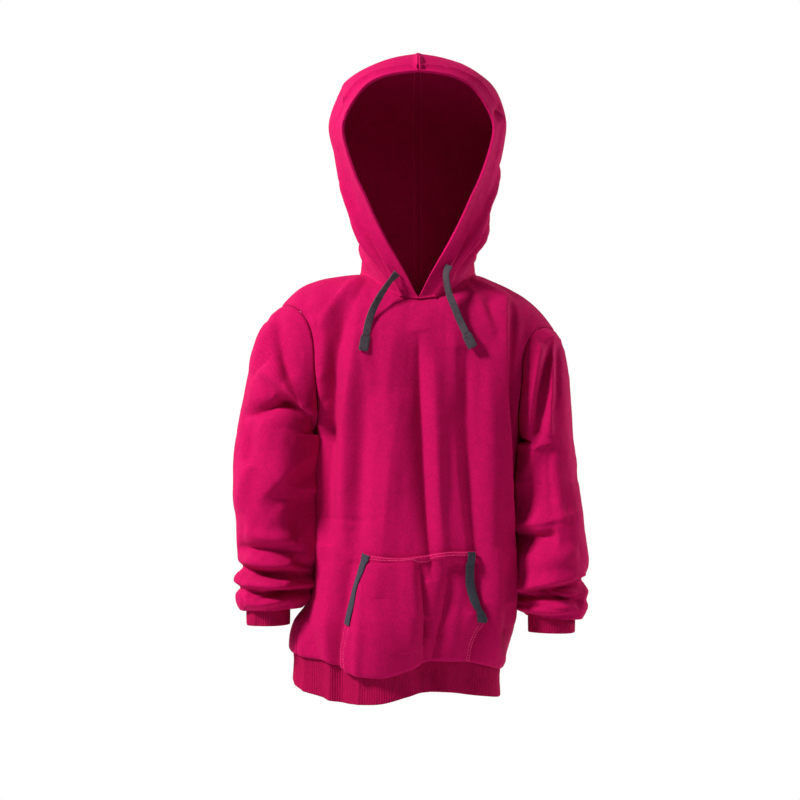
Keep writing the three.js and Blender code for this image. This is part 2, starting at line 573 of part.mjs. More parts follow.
// A sleeve's net of closed rings. Its first ring is the armhole, and the next few change to ovals.
function sleeveNet(side, sections, folds) {
  const loop = armholeLoop(side);
  const count = loop.length;
  const frames = sections.map(({ outer, outerZ, inner, innerZ, y, deep }) => {
    const out = new THREE.Vector3(side * (outer - inner), 0, outerZ - innerZ);
    const centre = new THREE.Vector3((side * (outer + inner)) / 2, y, (outerZ + innerZ) / 2);
    return { centre, wide: out.length() / 2, out: out.normalize(), deep };
  });
  const tip = loop[0];
  const underarm = loop[count / 2];
  const armhole = {
    centre: tip.clone().add(underarm).multiplyScalar(0.5),
    out: tip.clone().sub(underarm).normalize(),
  };
  const fromArmhole = armhole.out.clone().cross(FORWARD);
  const placed = folds.map((fold) => ({ ...fold, from: onSleeve(fold.from), to: onSleeve(fold.to) }));
  const rings = frames.map(({ centre, wide, out, deep }, k) => {
    const change = THREE.MathUtils.smoothstep(k + 1, 0, SLEEVE_SHAPE_RINGS);
    const through = out.clone().cross(FORWARD);
    return loop.map((p, i) => {
      const local = p.clone().sub(armhole.centre);
      const angle = (360 * i) / count;
      const along = mix(local.dot(armhole.out), wide * cosine(angle), change);
      const forward = mix(local.dot(FORWARD), deep * sine(angle), change);
      const beyond = mix(local.dot(fromArmhole), 0, change);
      const round = angle > FOLD_START_ANGLE + 360 ? angle - 360 : angle;
      const lift = foldLift(placed, ...onSleeve([round, k + 1]));
      const radial = out.clone().multiplyScalar(cosine(angle)).addScaledVector(FORWARD, sine(angle));
      return centre
        .clone()
        .addScaledVector(out, along)
        .addScaledVector(FORWARD, forward)
        .addScaledVector(through, beyond)
        .addScaledVector(radial, lift);
    });
  });
  const net = [loop.map((p) => p.clone()), ...rings];
  return side > 0 ? net.map((ring) => [ring[0], ...ring.slice(1).reverse()]) : net;
}

// Widens a ring into ribs: each point of an even ring becomes a ridge and a groove.
function ribbed(ring, ribs, height) {
  const count = ring.length;
  const at = (t) => {
    const i = Math.floor(t * count) % count;
    return ring[i].clone().lerp(ring[(i + 1) % count], t * count - Math.floor(t * count));
  };
  const points = Array.from({ length: 2 * ribs }, (_, k) => at(k / (2 * ribs)));
  return points.map((p, k) => {
    const before = points[(k + 2 * ribs - 1) % (2 * ribs)];
    const after = points[(k + 1) % (2 * ribs)];
    const across = after.clone().sub(before).setZ(0).normalize();
    const outward = new THREE.Vector3(across.y, -across.x, 0);
    return p.addScaledVector(outward, k % 2 ? height : 0);
  });
}

// A band of rib knit between plain rings, its ridges raised over a plain inside.
function ribBand(rings, ribs) {
  const outer = rings.map((ring) => ribbed(ring, ribs, RIB_RIDGE));
  const inside = moved(rings, true, () => -RIB_CLOTH);
  const inner = inside.map((ring) => ribbed(ring, ribs / 2, 0).filter((_, k) => k % 2 === 0));
  return wall(outer, inner, true);
}

// Places spaced evenly along a closed loop of points.
function evenly(loop, count) {
  const reach = [0];
  loop.forEach((p, i) => reach.push(reach[i] + p.distanceTo(loop[(i + 1) % loop.length])));
  let i = 0;
  return Array.from({ length: count }, (_, k) => {
    const at = (k / count) * reach[loop.length];
    while (reach[i + 1] <= at) i += 1;
    const t = (at - reach[i]) / (reach[i + 1] - reach[i]);
    return loop[i].clone().lerp(loop[(i + 1) % loop.length], t);
  });
}

// The loop of the two panels' lower rims, from the middle of the back round by the wearer's right.
function rimLoop() {
  const front = frontNet[frontNet.length - 1];
  const back = backNet[backNet.length - 1];
  const middle = (back.length - 1) / 2;
  return [...back.slice(middle), ...front.slice(1), ...back.slice(1, middle)];
}

// A ring round the hem rib, hung from the rim, at a share of the rib's height.
function hemRing(rim, { share, inward }) {
  const count = rim.length;
  return rim.map((p, i) => {
    const along = rim[(i + 1) % count].clone().sub(rim[(i + count - 1) % count]).setZ(0).normalize();
    const outward = new THREE.Vector3(along.y, -along.x, 0);
    const [left, right] = ["left", "right"].map((side) => read(BODY, "z", p.z, side));
    const aside = (2 * (p.x - left)) / (right - left) - 1;
    const ahead = (SHOULDER_SEAM_Y - p.y) / BODY[BODY.length - 1].front;
    const edge = read(HEM, "angle", Math.atan2(aside, ahead) / RADIAN, "edge");
    return p.clone().addScaledVector(outward, -inward).setZ(mix(p.z - 2 * SEAM_GAP, edge, share));
  });
}

// A cuff hangs from the sleeve's last ring, which lies round its upper end.
function cuffRings(sleeve) {
  const ring = sleeve[sleeve.length - 1];
  const centre = ring.reduce((sum, p) => sum.add(p), new THREE.Vector3()).divideScalar(ring.length);
  return CUFF_PROFILE.map(({ down, inward }) =>
    ring.map((p) => {
      const way = p.clone().sub(centre).setZ(0).normalize();
      return p.clone().addScaledVector(way, -inward).sub(new THREE.Vector3(0, 0, down));
    }),
  );
}

// The hood half on one side, its columns from the front edge back to the middle seam.
function hoodNet(side, folds) {
  const hem = [0, HOOD_HEM_SHARE * 0.55, HOOD_HEM_SHARE, HOOD_HEM_SHARE + 0.015];
  const shares = [...hem, ...HOOD_BACK_SHARES];
  const neckline = necklineHalf(side);
  return steps(HOOD_ROWS).map((up, r) => {
    const get = (column) => read(HOOD, "up", up, column);
    const wide = Math.max(get("wide"), get("edgeX") + 0.01);
    const start = Math.asin(-Math.sqrt(Math.max(1 - (get("edgeX") / wide) ** 2, 0))) / RADIAN;
    const reach = (get("seamY") - get("edgeY")) / (1 - sine(start));
    const fade = 1 - THREE.MathUtils.smoothstep(up, 0, HOOD_NECK_FIT);
    return shares.map((share) => {
      const angle = mix(start, 90, share);
      const arc = new THREE.Vector3(
        side * Math.max(wide * cosine(angle), 0),
        get("seamY") - reach * (1 - sine(angle)),
        mix(get("edgeZ"), get("seamZ"), 1 - (1 - share) ** get("rise")),
      );
      if (up === 1) arc.x = 0;
      arc.addScaledVector(neckline(share).sub(hoodBase(side, share)), fade);
      const ends = Math.min(share * 12, 1) * Math.min((1 - share) * 8, 1);
      const rise = Math.min(r / 3, 1) * Math.min((HOOD_ROWS - r) / 3, 1);
      const outward = new THREE.Vector3(side * cosine(angle), sine(angle), 0);
      const lift = foldLift(folds, share * HOOD_MM_BACK, up * HOOD_MM_UP);
      const seamSide = side * (share === 1 || up === 1 ? HOOD_SEAM_HALF : 0);
      arc.addScaledVector(outward, lift * ends * rise);
      return arc.add(new THREE.Vector3(seamSide, 0, 0));
    });
  });
}

// One half of the hood as a wall, double where its front edge is turned back, and clear of the other half.
function hoodWall(net, side) {
  const outer = side < 0 ? net.map((row) => [...row].reverse()) : net;
  const last = outer[0].length - 1;
  const hemColumns = 2;
  const fromEdge = (c) => (side < 0 ? last - c : c);
  const inner = moved(outer, false, (r, c) => (fromEdge(c) <= hemColumns ? -TURNED_HEM : -CLOTH));
  inner.flat().forEach((p) => p.setX(side * Math.max(side * p.x, HOOD_SEAM_HALF)));
  return wall(outer, inner, false);
}

// The hood's lowest row before it is fitted to the neckline.
function hoodBase(side, share) {
  const { edgeX, edgeY, edgeZ, wide, seamY, seamZ } = HOOD[0];
  const start = Math.asin(-Math.sqrt(1 - (edgeX / wide) ** 2)) / RADIAN;
  const reach = (seamY - edgeY) / (1 - sine(start));
  const angle = mix(start, 90, share);
  const y = seamY - reach * (1 - sine(angle));
  return new THREE.Vector3(side * wide * cosine(angle), y, mix(edgeZ, seamZ, share));
}

// One half of the neckline, from the middle of the front round to the middle of the back, by share.
function necklineHalf(side) {
  const points = [
    ...steps(NECK_COLUMNS).map((t) => bodyPoint(FRONT, side * t * NECK_SHARE, 0)),
    ...steps(NECK_COLUMNS).slice(1).map((t) => bodyPoint(BACK, side * (1 - t) * NECK_SHARE, 0)),
  ];
  const reach = [0];
  for (let i = 1; i < points.length; i += 1) reach.push(reach[i - 1] + points[i].distanceTo(points[i - 1]));
  return (share) => {
    const at = share * reach[reach.length - 1];
    let i = 0;
    while (i < points.length - 2 && reach[i + 1] < at) i += 1;
    const t = (at - reach[i]) / (reach[i + 1] - reach[i]);
    return points[i].clone().lerp(points[i + 1], t).add(new THREE.Vector3(0, 0, 4 * SEAM_GAP));
  };
}

// The share across the front panel at which a level lies at x.
function shareAt(x, down) {
  let [low, high] = [-1, 1];
  for (let pass = 0; pass < 40; pass += 1) {
    const middle = (low + high) / 2;
    if (plainPoint(FRONT, middle, down).x < x) low = middle;
    else high = middle;
  }
  return (low + high) / 2;
}

// How far down the body a height lies: 2 at the underarm and 3 at the hem seam.
function downOfBody(z) {
  const underarm = (UNDERARM_LEFT + UNDERARM_RIGHT) / 2;
  return 2 + (z - underarm) / (HEM_MIDDLE - underarm);
}

// The pocket lies on the front panel, made from the panel's points moved out.
function pocketNet() {
  const columns = steps(POCKET_COLUMNS);
  const net = POCKET_ROWS.map((z) => {
    const down = Math.min(downOfBody(z), 2 + POCKET_BOTTOM);
    const [left, right] = ["left", "right"].map((edge) => shareAt(read(POCKET, "z", z, edge), down));
    return columns.map((t) => bodyPoint(FRONT, mix(left, right, t), down));
  });
  const belly = (r, c) => {
    const across = Math.sin(Math.PI * columns[c]);
    const down = Math.sin((Math.PI * r) / POCKET_ROWS.length);
    return POCKET_BELLY * (across * down) ** 0.4;
  };
  return moved(net, false, (r, c) => POCKET_GAP + POCKET_CLOTH + belly(r, c));
}

// A strip of binding along one opening of the pocket, laid on the pocket's edge.
function bindingNet(pocket, side) {
  const opening = pocket.filter((_, r) => POCKET_ROWS[r] >= POCKET_OPENING_END);
  return opening.map((row) => {
    const edge = side < 0 ? row[0] : row[row.length - 1];
    const inside = side < 0 ? row[1] : row[row.length - 2];
    const way = inside.clone().sub(edge).normalize();
    const distances = [-BINDING_LIP, BINDING_WIDTH / 2, BINDING_WIDTH];
    const along = distances.map((distance) => edge.clone().addScaledVector(way, distance));
    return side < 0 ? along : along.reverse();
  });
}

// The ring of eight points round a tape at a place, given the directions across it and through it.
function tapeRing(at, across, through, width, thick) {
  const [w, h] = [width / 2, thick / 2];
  const corner = 0.85 * w;
  const outline = [
    [w, -h / 2], [w, h / 2], [corner, h], [-corner, h],
    [-w, h / 2], [-w, -h / 2], [-corner, -h], [corner, -h],
  ];
  return outline.map(([a, b]) => at.clone().addScaledVector(across, a).addScaledVector(through, b));
}

// The directions across and through a tape that runs one way and is turned by an angle from the front.
function tapeFrame(way, turn) {
  const flat = new THREE.Vector3(cosine(turn), sine(turn), 0);
  const across = flat.addScaledVector(way, -flat.dot(way)).normalize();
  return [across, across.clone().cross(way).normalize()];
}

// A flat tape along a table of places, turning as it goes.
function tape(route) {
  const path = new THREE.CatmullRomCurve3(route.map(({ x, y, z }) => new THREE.Vector3(x, y, z)));
  const last = route.length - 1;
  const turnAt = (t) => {
    const i = Math.min(Math.floor(t * last), last - 1);
    return mix(route[i].turn, route[i + 1].turn, t * last - i);
  };
  const rings = steps(CORD_STEPS).map((t) => {
    const [across, through] = tapeFrame(path.getTangent(t), turnAt(t));
    return tapeRing(path.getPoint(t), across, through, CORD_WIDTH, CORD_THICK);
  });
  return rod(rings);
}

// A solid rod through rings of points, flat at both ends.
function rod(rings) {
  const count = rings[0].length;
  const middle = (ring) => ring.reduce((sum, p) => sum.add(p), new THREE.Vector3()).divideScalar(count);
  const points = [...rings.flat(), middle(rings[0]), middle(rings[rings.length - 1])];
  const triangles = [];
  for (let r = 0; r < rings.length - 1; r += 1)
    for (let c = 0; c < count; c += 1) {
      const [a, b] = [r * count + c, r * count + ((c + 1) % count)];
      triangles.push(a, b + count, b, a, a + count, b + count);
    }
  const [first, last] = [points.length - 2, points.length - 1];
  for (let c = 0; c < count; c += 1) {
    const next = (c + 1) % count;
    triangles.push(first, c, next);
    triangles.push(last, (rings.length - 1) * count + next, (rings.length - 1) * count + c);
  }
  return geometryOf(points, triangles);
}

// The tape's end is folded double and stitched, which keeps it from slipping through the buttonhole.
function tapeEnd(route) {
  const [before, end] = route.slice(-2).map(({ x, y, z }) => new THREE.Vector3(x, y, z));
  const way = end.clone().sub(before).normalize();
  const [across, through] = tapeFrame(way, route[route.length - 1].turn);
  const rings = CORD_END.profile.map(({ down, width }) => {
    const at = end.clone().addScaledVector(way, SEAM_GAP + down * CORD_END.height);
    return tapeRing(at, across, through, CORD_END.width * width, CORD_END.thick);
  });
  return rod(rings);
}

const FLEECE = new THREE.MeshStandardMaterial({ color: 0xb3114f, roughness: 0.85, metalness: 0 });
const RIB = new THREE.MeshStandardMaterial({ color: 0x9a1343, roughness: 0.85, metalness: 0 });
const BINDING = new THREE.MeshStandardMaterial({ color: 0x3f3f4a, roughness: 0.8, metalness: 0 });
const CORD = new THREE.MeshStandardMaterial({ color: 0x4b4550, roughness: 0.8, metalness: 0 });

const hoodie = new THREE.Group();
function add(name, geometry, material) {
  const mesh = new THREE.Mesh(geometry, material);
  mesh.name = name;
  hoodie.add(mesh);
}

const leftSleeve = sleeveNet(-1, LEFT_SLEEVE, LEFT_SLEEVE_FOLDS);
const rightSleeve = sleeveNet(1, RIGHT_SLEEVE, RIGHT_SLEEVE_FOLDS);
const leftHood = hoodNet(-1, LEFT_HOOD_FOLDS);
const rightHood = hoodNet(1, RIGHT_HOOD_FOLDS);
const pocket = pocketNet();

add("front_panel", clothWall(trimmed(frontNet)), FLEECE);
add("back_panel", clothWall(trimmed(backNet)), FLEECE);
add("sleeve_left", clothWall(trimmed(leftSleeve, { sides: false }), true), FLEECE);
add("sleeve_right", clothWall(trimmed(rightSleeve, { sides: false }), true), FLEECE);
add("hood_left", hoodWall(leftHood, -1), FLEECE);
add("hood_right", hoodWall(rightHood, 1), FLEECE);
const rim = evenly(rimLoop(), 2 * HEM_RIBS);
add("hem_rib", ribBand(HEM_PROFILE.map((row) => hemRing(rim, row)), HEM_RIBS), RIB);
add("cuff_left", ribBand(cuffRings(leftSleeve), CUFF_RIBS), RIB);
add("cuff_right", ribBand(cuffRings(rightSleeve), CUFF_RIBS), RIB);
add("pocket", clothWall(pocket, false, () => POCKET_CLOTH), FLEECE);
for (const [name, side] of [["left", -1], ["right", 1]]) {
  const strip = moved(bindingNet(pocket, side), false, () => LAID_GAP + BINDING_CLOTH);
  add(`pocket_binding_${name}`, clothWall(strip, false, () => BINDING_CLOTH), BINDING);
}
add("cord_left", tape(LEFT_CORD), CORD);
add("cord_right", tape(RIGHT_CORD), CORD);
add("cord_end_left", tapeEnd(LEFT_CORD), CORD);
add("cord_end_right", tapeEnd(RIGHT_CORD), CORD);

export default hoodie;
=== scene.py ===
"""Looks of a child's pullover hoodie: crimson brushed fleece, rib knit, dark bound pocket openings and cords.

Shapes are worked out in millimetres in the part's own frame: +Z up, the front facing -Y, the origin at the
base of the neck. The form follows the same cut as the solids, with finer folds, seams and stitches on it.
"""

import logging
import math
from dataclasses import dataclass, field
from enum import Enum
from typing import Any, Sequence

import bpy
import numpy as np
from mathutils import Matrix, Vector, noise

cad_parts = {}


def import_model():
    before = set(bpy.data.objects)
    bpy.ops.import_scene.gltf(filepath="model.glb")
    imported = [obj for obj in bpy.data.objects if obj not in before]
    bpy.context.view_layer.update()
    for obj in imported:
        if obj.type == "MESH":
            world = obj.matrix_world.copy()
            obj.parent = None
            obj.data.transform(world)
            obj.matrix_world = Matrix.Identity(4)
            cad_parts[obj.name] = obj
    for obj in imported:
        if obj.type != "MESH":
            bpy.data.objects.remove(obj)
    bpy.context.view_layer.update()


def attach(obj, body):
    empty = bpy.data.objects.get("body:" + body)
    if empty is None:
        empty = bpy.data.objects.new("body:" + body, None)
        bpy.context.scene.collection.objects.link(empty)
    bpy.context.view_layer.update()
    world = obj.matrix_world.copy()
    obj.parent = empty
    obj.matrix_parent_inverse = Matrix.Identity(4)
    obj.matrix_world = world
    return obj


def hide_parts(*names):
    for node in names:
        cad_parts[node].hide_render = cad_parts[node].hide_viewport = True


LOG = logging.getLogger("hoodie")
MM = 0.001
FORWARD = np.array([0.0, -1.0, 0.0])
UP = np.array([0.0, 0.0, 1.0])
LEVEL = np.array([1, 1, 0])  # keeps what is level of a direction
SEAM_DIP, SEAM_ROLL = 0.7, 2.6  # how far a sewn edge of the body goes in, and how far from it that begins
FLAT_CORNER = 2  # millimetres above the underarm up to which the edges stay flat


class Side(Enum):
    """A side of the front view."""

    LEFT = -1
    RIGHT = 1

    @property
    def word(self) -> str:
        """Returns the side's word in piece names."""
        return self.name.lower()


# Small tools of shape


def sine(degrees: Any) -> Any:
    """Returns the sine of an angle in degrees."""
    return np.sin(np.radians(degrees))


def cosine(degrees: Any) -> Any:
    """Returns the cosine of an angle in degrees."""
    return np.cos(np.radians(degrees))


def mix(a: Any, b: Any, t: Any) -> Any:
    """Returns the value a share t of the way from a to b."""
    return a + (b - a) * t


def smoothstep(value: Any, low: float, high: float) -> Any:
    """Returns 0 below low, 1 above high, and a smooth rise between."""
    t = np.clip((value - low) / (high - low), 0, 1)
    return t * t * (3 - 2 * t)


def unit(vectors: np.ndarray) -> np.ndarray:
    """Returns vectors brought to length 1."""
    return vectors / np.maximum(np.linalg.norm(vectors, axis=-1, keepdims=True), 1e-9)


def reach_along(points: np.ndarray) -> np.ndarray:
    """Returns the distance along a line of points, at each of them."""
    return np.concatenate([[0], np.cumsum(np.linalg.norm(np.diff(points, axis=0), axis=1))])


def read_line(values: np.ndarray, reach: np.ndarray, at: np.ndarray) -> np.ndarray:
    """Reads a line's values at distances along it.

    Args:
        values: The values at the line's points, a row for each.
        reach: The distance along the line at each of those points.
        at: The distances to read them at.

    Returns:
        The values there, a row for each distance.
    """
    return np.stack([np.interp(at, reach, column) for column in values.T], axis=-1)


@dataclass(frozen=True)
class Table:
    """A short table with named columns, read on a smooth curve through its rows by its first column."""

    columns: str
    rows: tuple[tuple[float, ...], ...]

    def read(self, at: Any, column: str) -> np.ndarray:
        """Reads a column.

        Args:
            at: Values of the first column.
            column: The name of the column to read.

        Returns:
            The column's values there.
        """
        data = np.array(self.rows, float)
        if data[0, 0] > data[-1, 0]:
            data = data[::-1]
        keys, values = data[:, 0], data[:, self.columns.split().index(column)]
        last = len(keys) - 1
        before, after = np.maximum(np.arange(last + 1) - 1, 0), np.minimum(np.arange(last + 1) + 1, last)
        slopes = (values[after] - values[before]) / (keys[after] - keys[before])
        at = np.clip(np.asarray(at, float), keys[0], keys[-1])
        i = np.clip(np.searchsorted(keys, at) - 1, 0, last - 1)
        span = keys[i + 1] - keys[i]
        t = (at - keys[i]) / span
        near = values[i] * (1 + 2 * t) * (1 - t) ** 2 + slopes[i] * span * t * (1 - t) ** 2
        return near + values[i + 1] * t * t * (3 - 2 * t) - slopes[i + 1] * span * t * t * (1 - t)


@dataclass(frozen=True)
class Fold:
    """A fold along a slightly bowed line. It fades at both ends."""

    start: tuple[float, float]
    end: tuple[float, float]
    bow: float  # how far the line bows aside
    height: float  # how far it stands out of the cloth, or in if negative
    soft: float  # its width on one side
    steep: float  # its width on the other side
    edge: float = 2.0  # 2 is a round crest, and nearer 1 is a sharp one

    def lift(self, across: np.ndarray, along: np.ndarray) -> np.ndarray:
        """Returns how far the fold lifts the cloth at places given by two distances."""
        dx, dy = self.end[0] - self.start[0], self.end[1] - self.start[1]
        length = math.hypot(dx, dy)
        t = ((across - self.start[0]) * dx + (along - self.start[1]) * dy) / length**2
        fade = np.where((t > 0) & (t < 1), 4 * t * (1 - t), 0)
        off = ((across - self.start[0]) * dy - (along - self.start[1]) * dx) / length - self.bow * fade
        width = np.where(off > 0, self.soft, self.steep)
        return self.height * np.sqrt(fade) * np.exp(-(np.abs(off / width) ** self.edge))


def fold_lift(folds: Sequence[Fold], across: np.ndarray, along: np.ndarray) -> np.ndarray:
    """Returns the sum of what several folds lift."""
    return sum((fold.lift(across, along) for fold in folds), np.zeros(np.broadcast(across, along).shape))


def ripple(points: np.ndarray, size: tuple[float, float, float], seed: float) -> np.ndarray:
    """Works out a soft, uneven ripple of the cloth.

    Args:
        points: Places, in millimetres.
        size: The ripple's size along X, Y and Z.
        seed: Moves the pattern on.

    Returns:
        Heights from about -1 to 1.
    """
    flat = (points / np.array(size)).reshape(-1, 3) + seed
    heights = [noise.noise(Vector(p)) + 0.4 * noise.noise(Vector(p * 2.1)) for p in flat]
    return np.array(heights).reshape(points.shape[:-1])


class Net:
    """A net of points on a piece of cloth. Rows run down and columns run anticlockwise as seen from above."""

    def __init__(self, points: np.ndarray, closed: bool = False) -> None:
        """Keeps the points.

        Args:
            points: Rows by columns by three, in millimetres.
            closed: Whether the last column meets the first.
        """
        self.points = points
        self.closed = closed

    def normals(self) -> np.ndarray:
        """Returns the outward normal at each point."""
        p = self.points
        if self.closed:
            across = np.roll(p, -1, axis=1) - np.roll(p, 1, axis=1)
        else:
            across = np.gradient(p, axis=1)
        return unit(np.cross(np.gradient(p, axis=0), across))

    def moved(self, distance: Any) -> "Net":
        """Returns the net moved out along its normals."""
        distance = np.broadcast_to(np.asarray(distance, float), self.points.shape[:2])
        return Net(self.points + self.normals() * distance[..., None], self.closed)

    def lengths(self) -> tuple[np.ndarray, np.ndarray]:
        """Returns the distance along the middle row and down the middle column, at each column and row."""
        p = self.points
        row, column = p[p.shape[0] // 2], p[:, p.shape[1] // 2]
        ends = np.vstack([row, row[:1]]) if self.closed else row
        return reach_along(ends), reach_along(column)

    def at(self, row: np.ndarray, column: np.ndarray) -> tuple[np.ndarray, np.ndarray]:
        """Finds places between the net's points.

        Args:
            row: Rows, with parts of a row.
            column: Columns, with parts of a column.

        Returns:
            The points and the outward normals there.
        """
        rows, columns = self.points.shape[:2]
        row = np.clip(row, 0, rows - 1.001)
        column = np.mod(column, columns) if self.closed else np.clip(column, 0, columns - 1.001)
        r, c = np.floor(row).astype(int), np.floor(column).astype(int)
        next_c = (c + 1) % columns
        a, b = (row - r)[..., None], (column - c)[..., None]
        found = []
        for values in (self.points, self.normals()):
            upper = values[r, c] * (1 - b) + values[r, next_c] * b
            lower = values[r + 1, c] * (1 - b) + values[r + 1, next_c] * b
            found.append(upper * (1 - a) + lower * a)
        return found[0], unit(found[1])


# Small tools of Blender


def deselect_all() -> None:
    """Leaves nothing selected, in object mode."""
    if bpy.context.object and bpy.context.object.mode != "OBJECT":
        bpy.ops.object.mode_set(mode="OBJECT")
    bpy.ops.object.select_all(action="DESELECT")


def make_active(piece: bpy.types.Object) -> None:
    """Selects one piece alone and makes it active."""
    deselect_all()
    piece.select_set(True)
    bpy.context.view_layer.objects.active = piece


def add_modifier(piece: bpy.types.Object, kind: str, **settings: Any) -> None:
    """Adds a modifier with its settings and applies it.

    Args:
        piece: The piece that gets it.
        kind: The modifier's type.
        **settings: Its settings by name.
    """
    make_active(piece)
    modifier = piece.modifiers.new(kind.title(), kind)
    for name, value in settings.items():
        setattr(modifier, name, value)
    bpy.ops.object.modifier_apply(modifier=modifier.name)


def cloth_from(name: str, net: Net) -> bpy.types.Object:
    """Shapes a flat grid to a net of points, with its own lengths as the UV map, in metres.

    Args:
        name: The piece's name.
        net: The net.

    Returns:
        The piece, a single layer with its normals outward.
    """
    points = net.points
    if net.closed:
        points = np.concatenate([points, points[:, :1]], axis=1)
    rows, columns = points.shape[:2]
    deselect_all()
    bpy.ops.mesh.primitive_grid_add(x_subdivisions=columns - 1, y_subdivisions=rows - 1, size=1)
    piece = bpy.context.object
    piece.name = name
    piece.data.name = name
    mesh = piece.data
    flat = np.empty(len(mesh.vertices) * 3)
    mesh.vertices.foreach_get("co", flat)
    flat = flat.reshape(-1, 3)
    column = np.rint((flat[:, 0] + 0.5) * (columns - 1)).astype(int)
    row = np.rint((0.5 - flat[:, 1]) * (rows - 1)).astype(int)
    mesh.vertices.foreach_set("co", (points[row, column] * MM).ravel())
    across, down = net.lengths()
    corner = np.empty(len(mesh.loops), int)
    mesh.loops.foreach_get("vertex_index", corner)
    uv = np.stack([across[column[corner]] * MM, -down[row[corner]] * MM], axis=1)
    mesh.uv_layers[0].data.foreach_set("uv", uv.ravel())
    mesh.update()
    if net.closed:
        bpy.ops.object.mode_set(mode="EDIT")
        bpy.ops.mesh.select_all(action="SELECT")
        bpy.ops.mesh.remove_doubles(threshold=1e-6)
        bpy.ops.object.mode_set(mode="OBJECT")
    return piece


def thicken(piece: bpy.types.Object, thickness: float, weights: np.ndarray | None = None) -> None:
    """Gives a single layer its wall, inward from the outer face.

    Args:
        piece: The piece.
        thickness: The wall, in millimetres.
        weights: The share of that wall at each vertex, where it changes.
    """
    settings: dict[str, Any] = {"thickness": thickness * MM, "offset": -1.0}
    if weights is not None:
        group = piece.vertex_groups.new(name="wall")
        for share in np.unique(np.round(weights, 2)):
            members = np.nonzero(np.round(weights, 2) == share)[0].tolist()
            group.add(members, float(share), "REPLACE")
        settings["vertex_group"] = "wall"
    add_modifier(piece, "SOLIDIFY", **settings)
    piece.vertex_groups.clear()


def round_rim(piece: bpy.types.Object, width: float) -> None:
    """Rounds the sharp edges of a wall's rim by a width in millimetres, and shades the piece smooth."""
    settings = {"width": width * MM, "segments": 3, "limit_method": "ANGLE", "angle_limit": math.radians(55)}
    add_modifier(piece, "BEVEL", **settings)
    smooth(piece)


def smooth(piece: bpy.types.Object) -> None:
    """Shades a piece smooth all over."""
    make_active(piece)
    bpy.ops.object.shade_smooth()


def linear(hex_colour: str) -> tuple[float, float, float, float]:
    """Turns an sRGB hex colour into linear values."""
    values = [int(hex_colour[i : i + 2], 16) / 255 for i in (1, 3, 5)]
    turned = [v / 12.92 if v <= 0.04045 else ((v + 0.055) / 1.055) ** 2.4 for v in values]
    return (turned[0], turned[1], turned[2], 1.0)


def add_node(
    tree: bpy.types.NodeTree, kind: str, settings: dict[str, Any] | None = None, **sockets: Any
) -> bpy.types.Node:
    """Adds a node with its settings, values and links.

    Args:
        tree: The node tree.
        kind: The node's type.
        settings: Properties of the node itself.
        **sockets: A value or another node's output for each input, with _ for a space in its name.

    Returns:
        The node.
    """
    node = tree.nodes.new(kind)
    for name, value in (settings or {}).items():
        setattr(node, name, value)
    for name, value in sockets.items():
        key = int(name[1:]) if name[0] == "i" and name[1:].isdigit() else name.replace("_", " ")
        socket = node.inputs[key]
        if isinstance(value, bpy.types.NodeSocket):
            tree.links.new(value, socket)
        else:
            socket.default_value = value
    return node


# Finishes


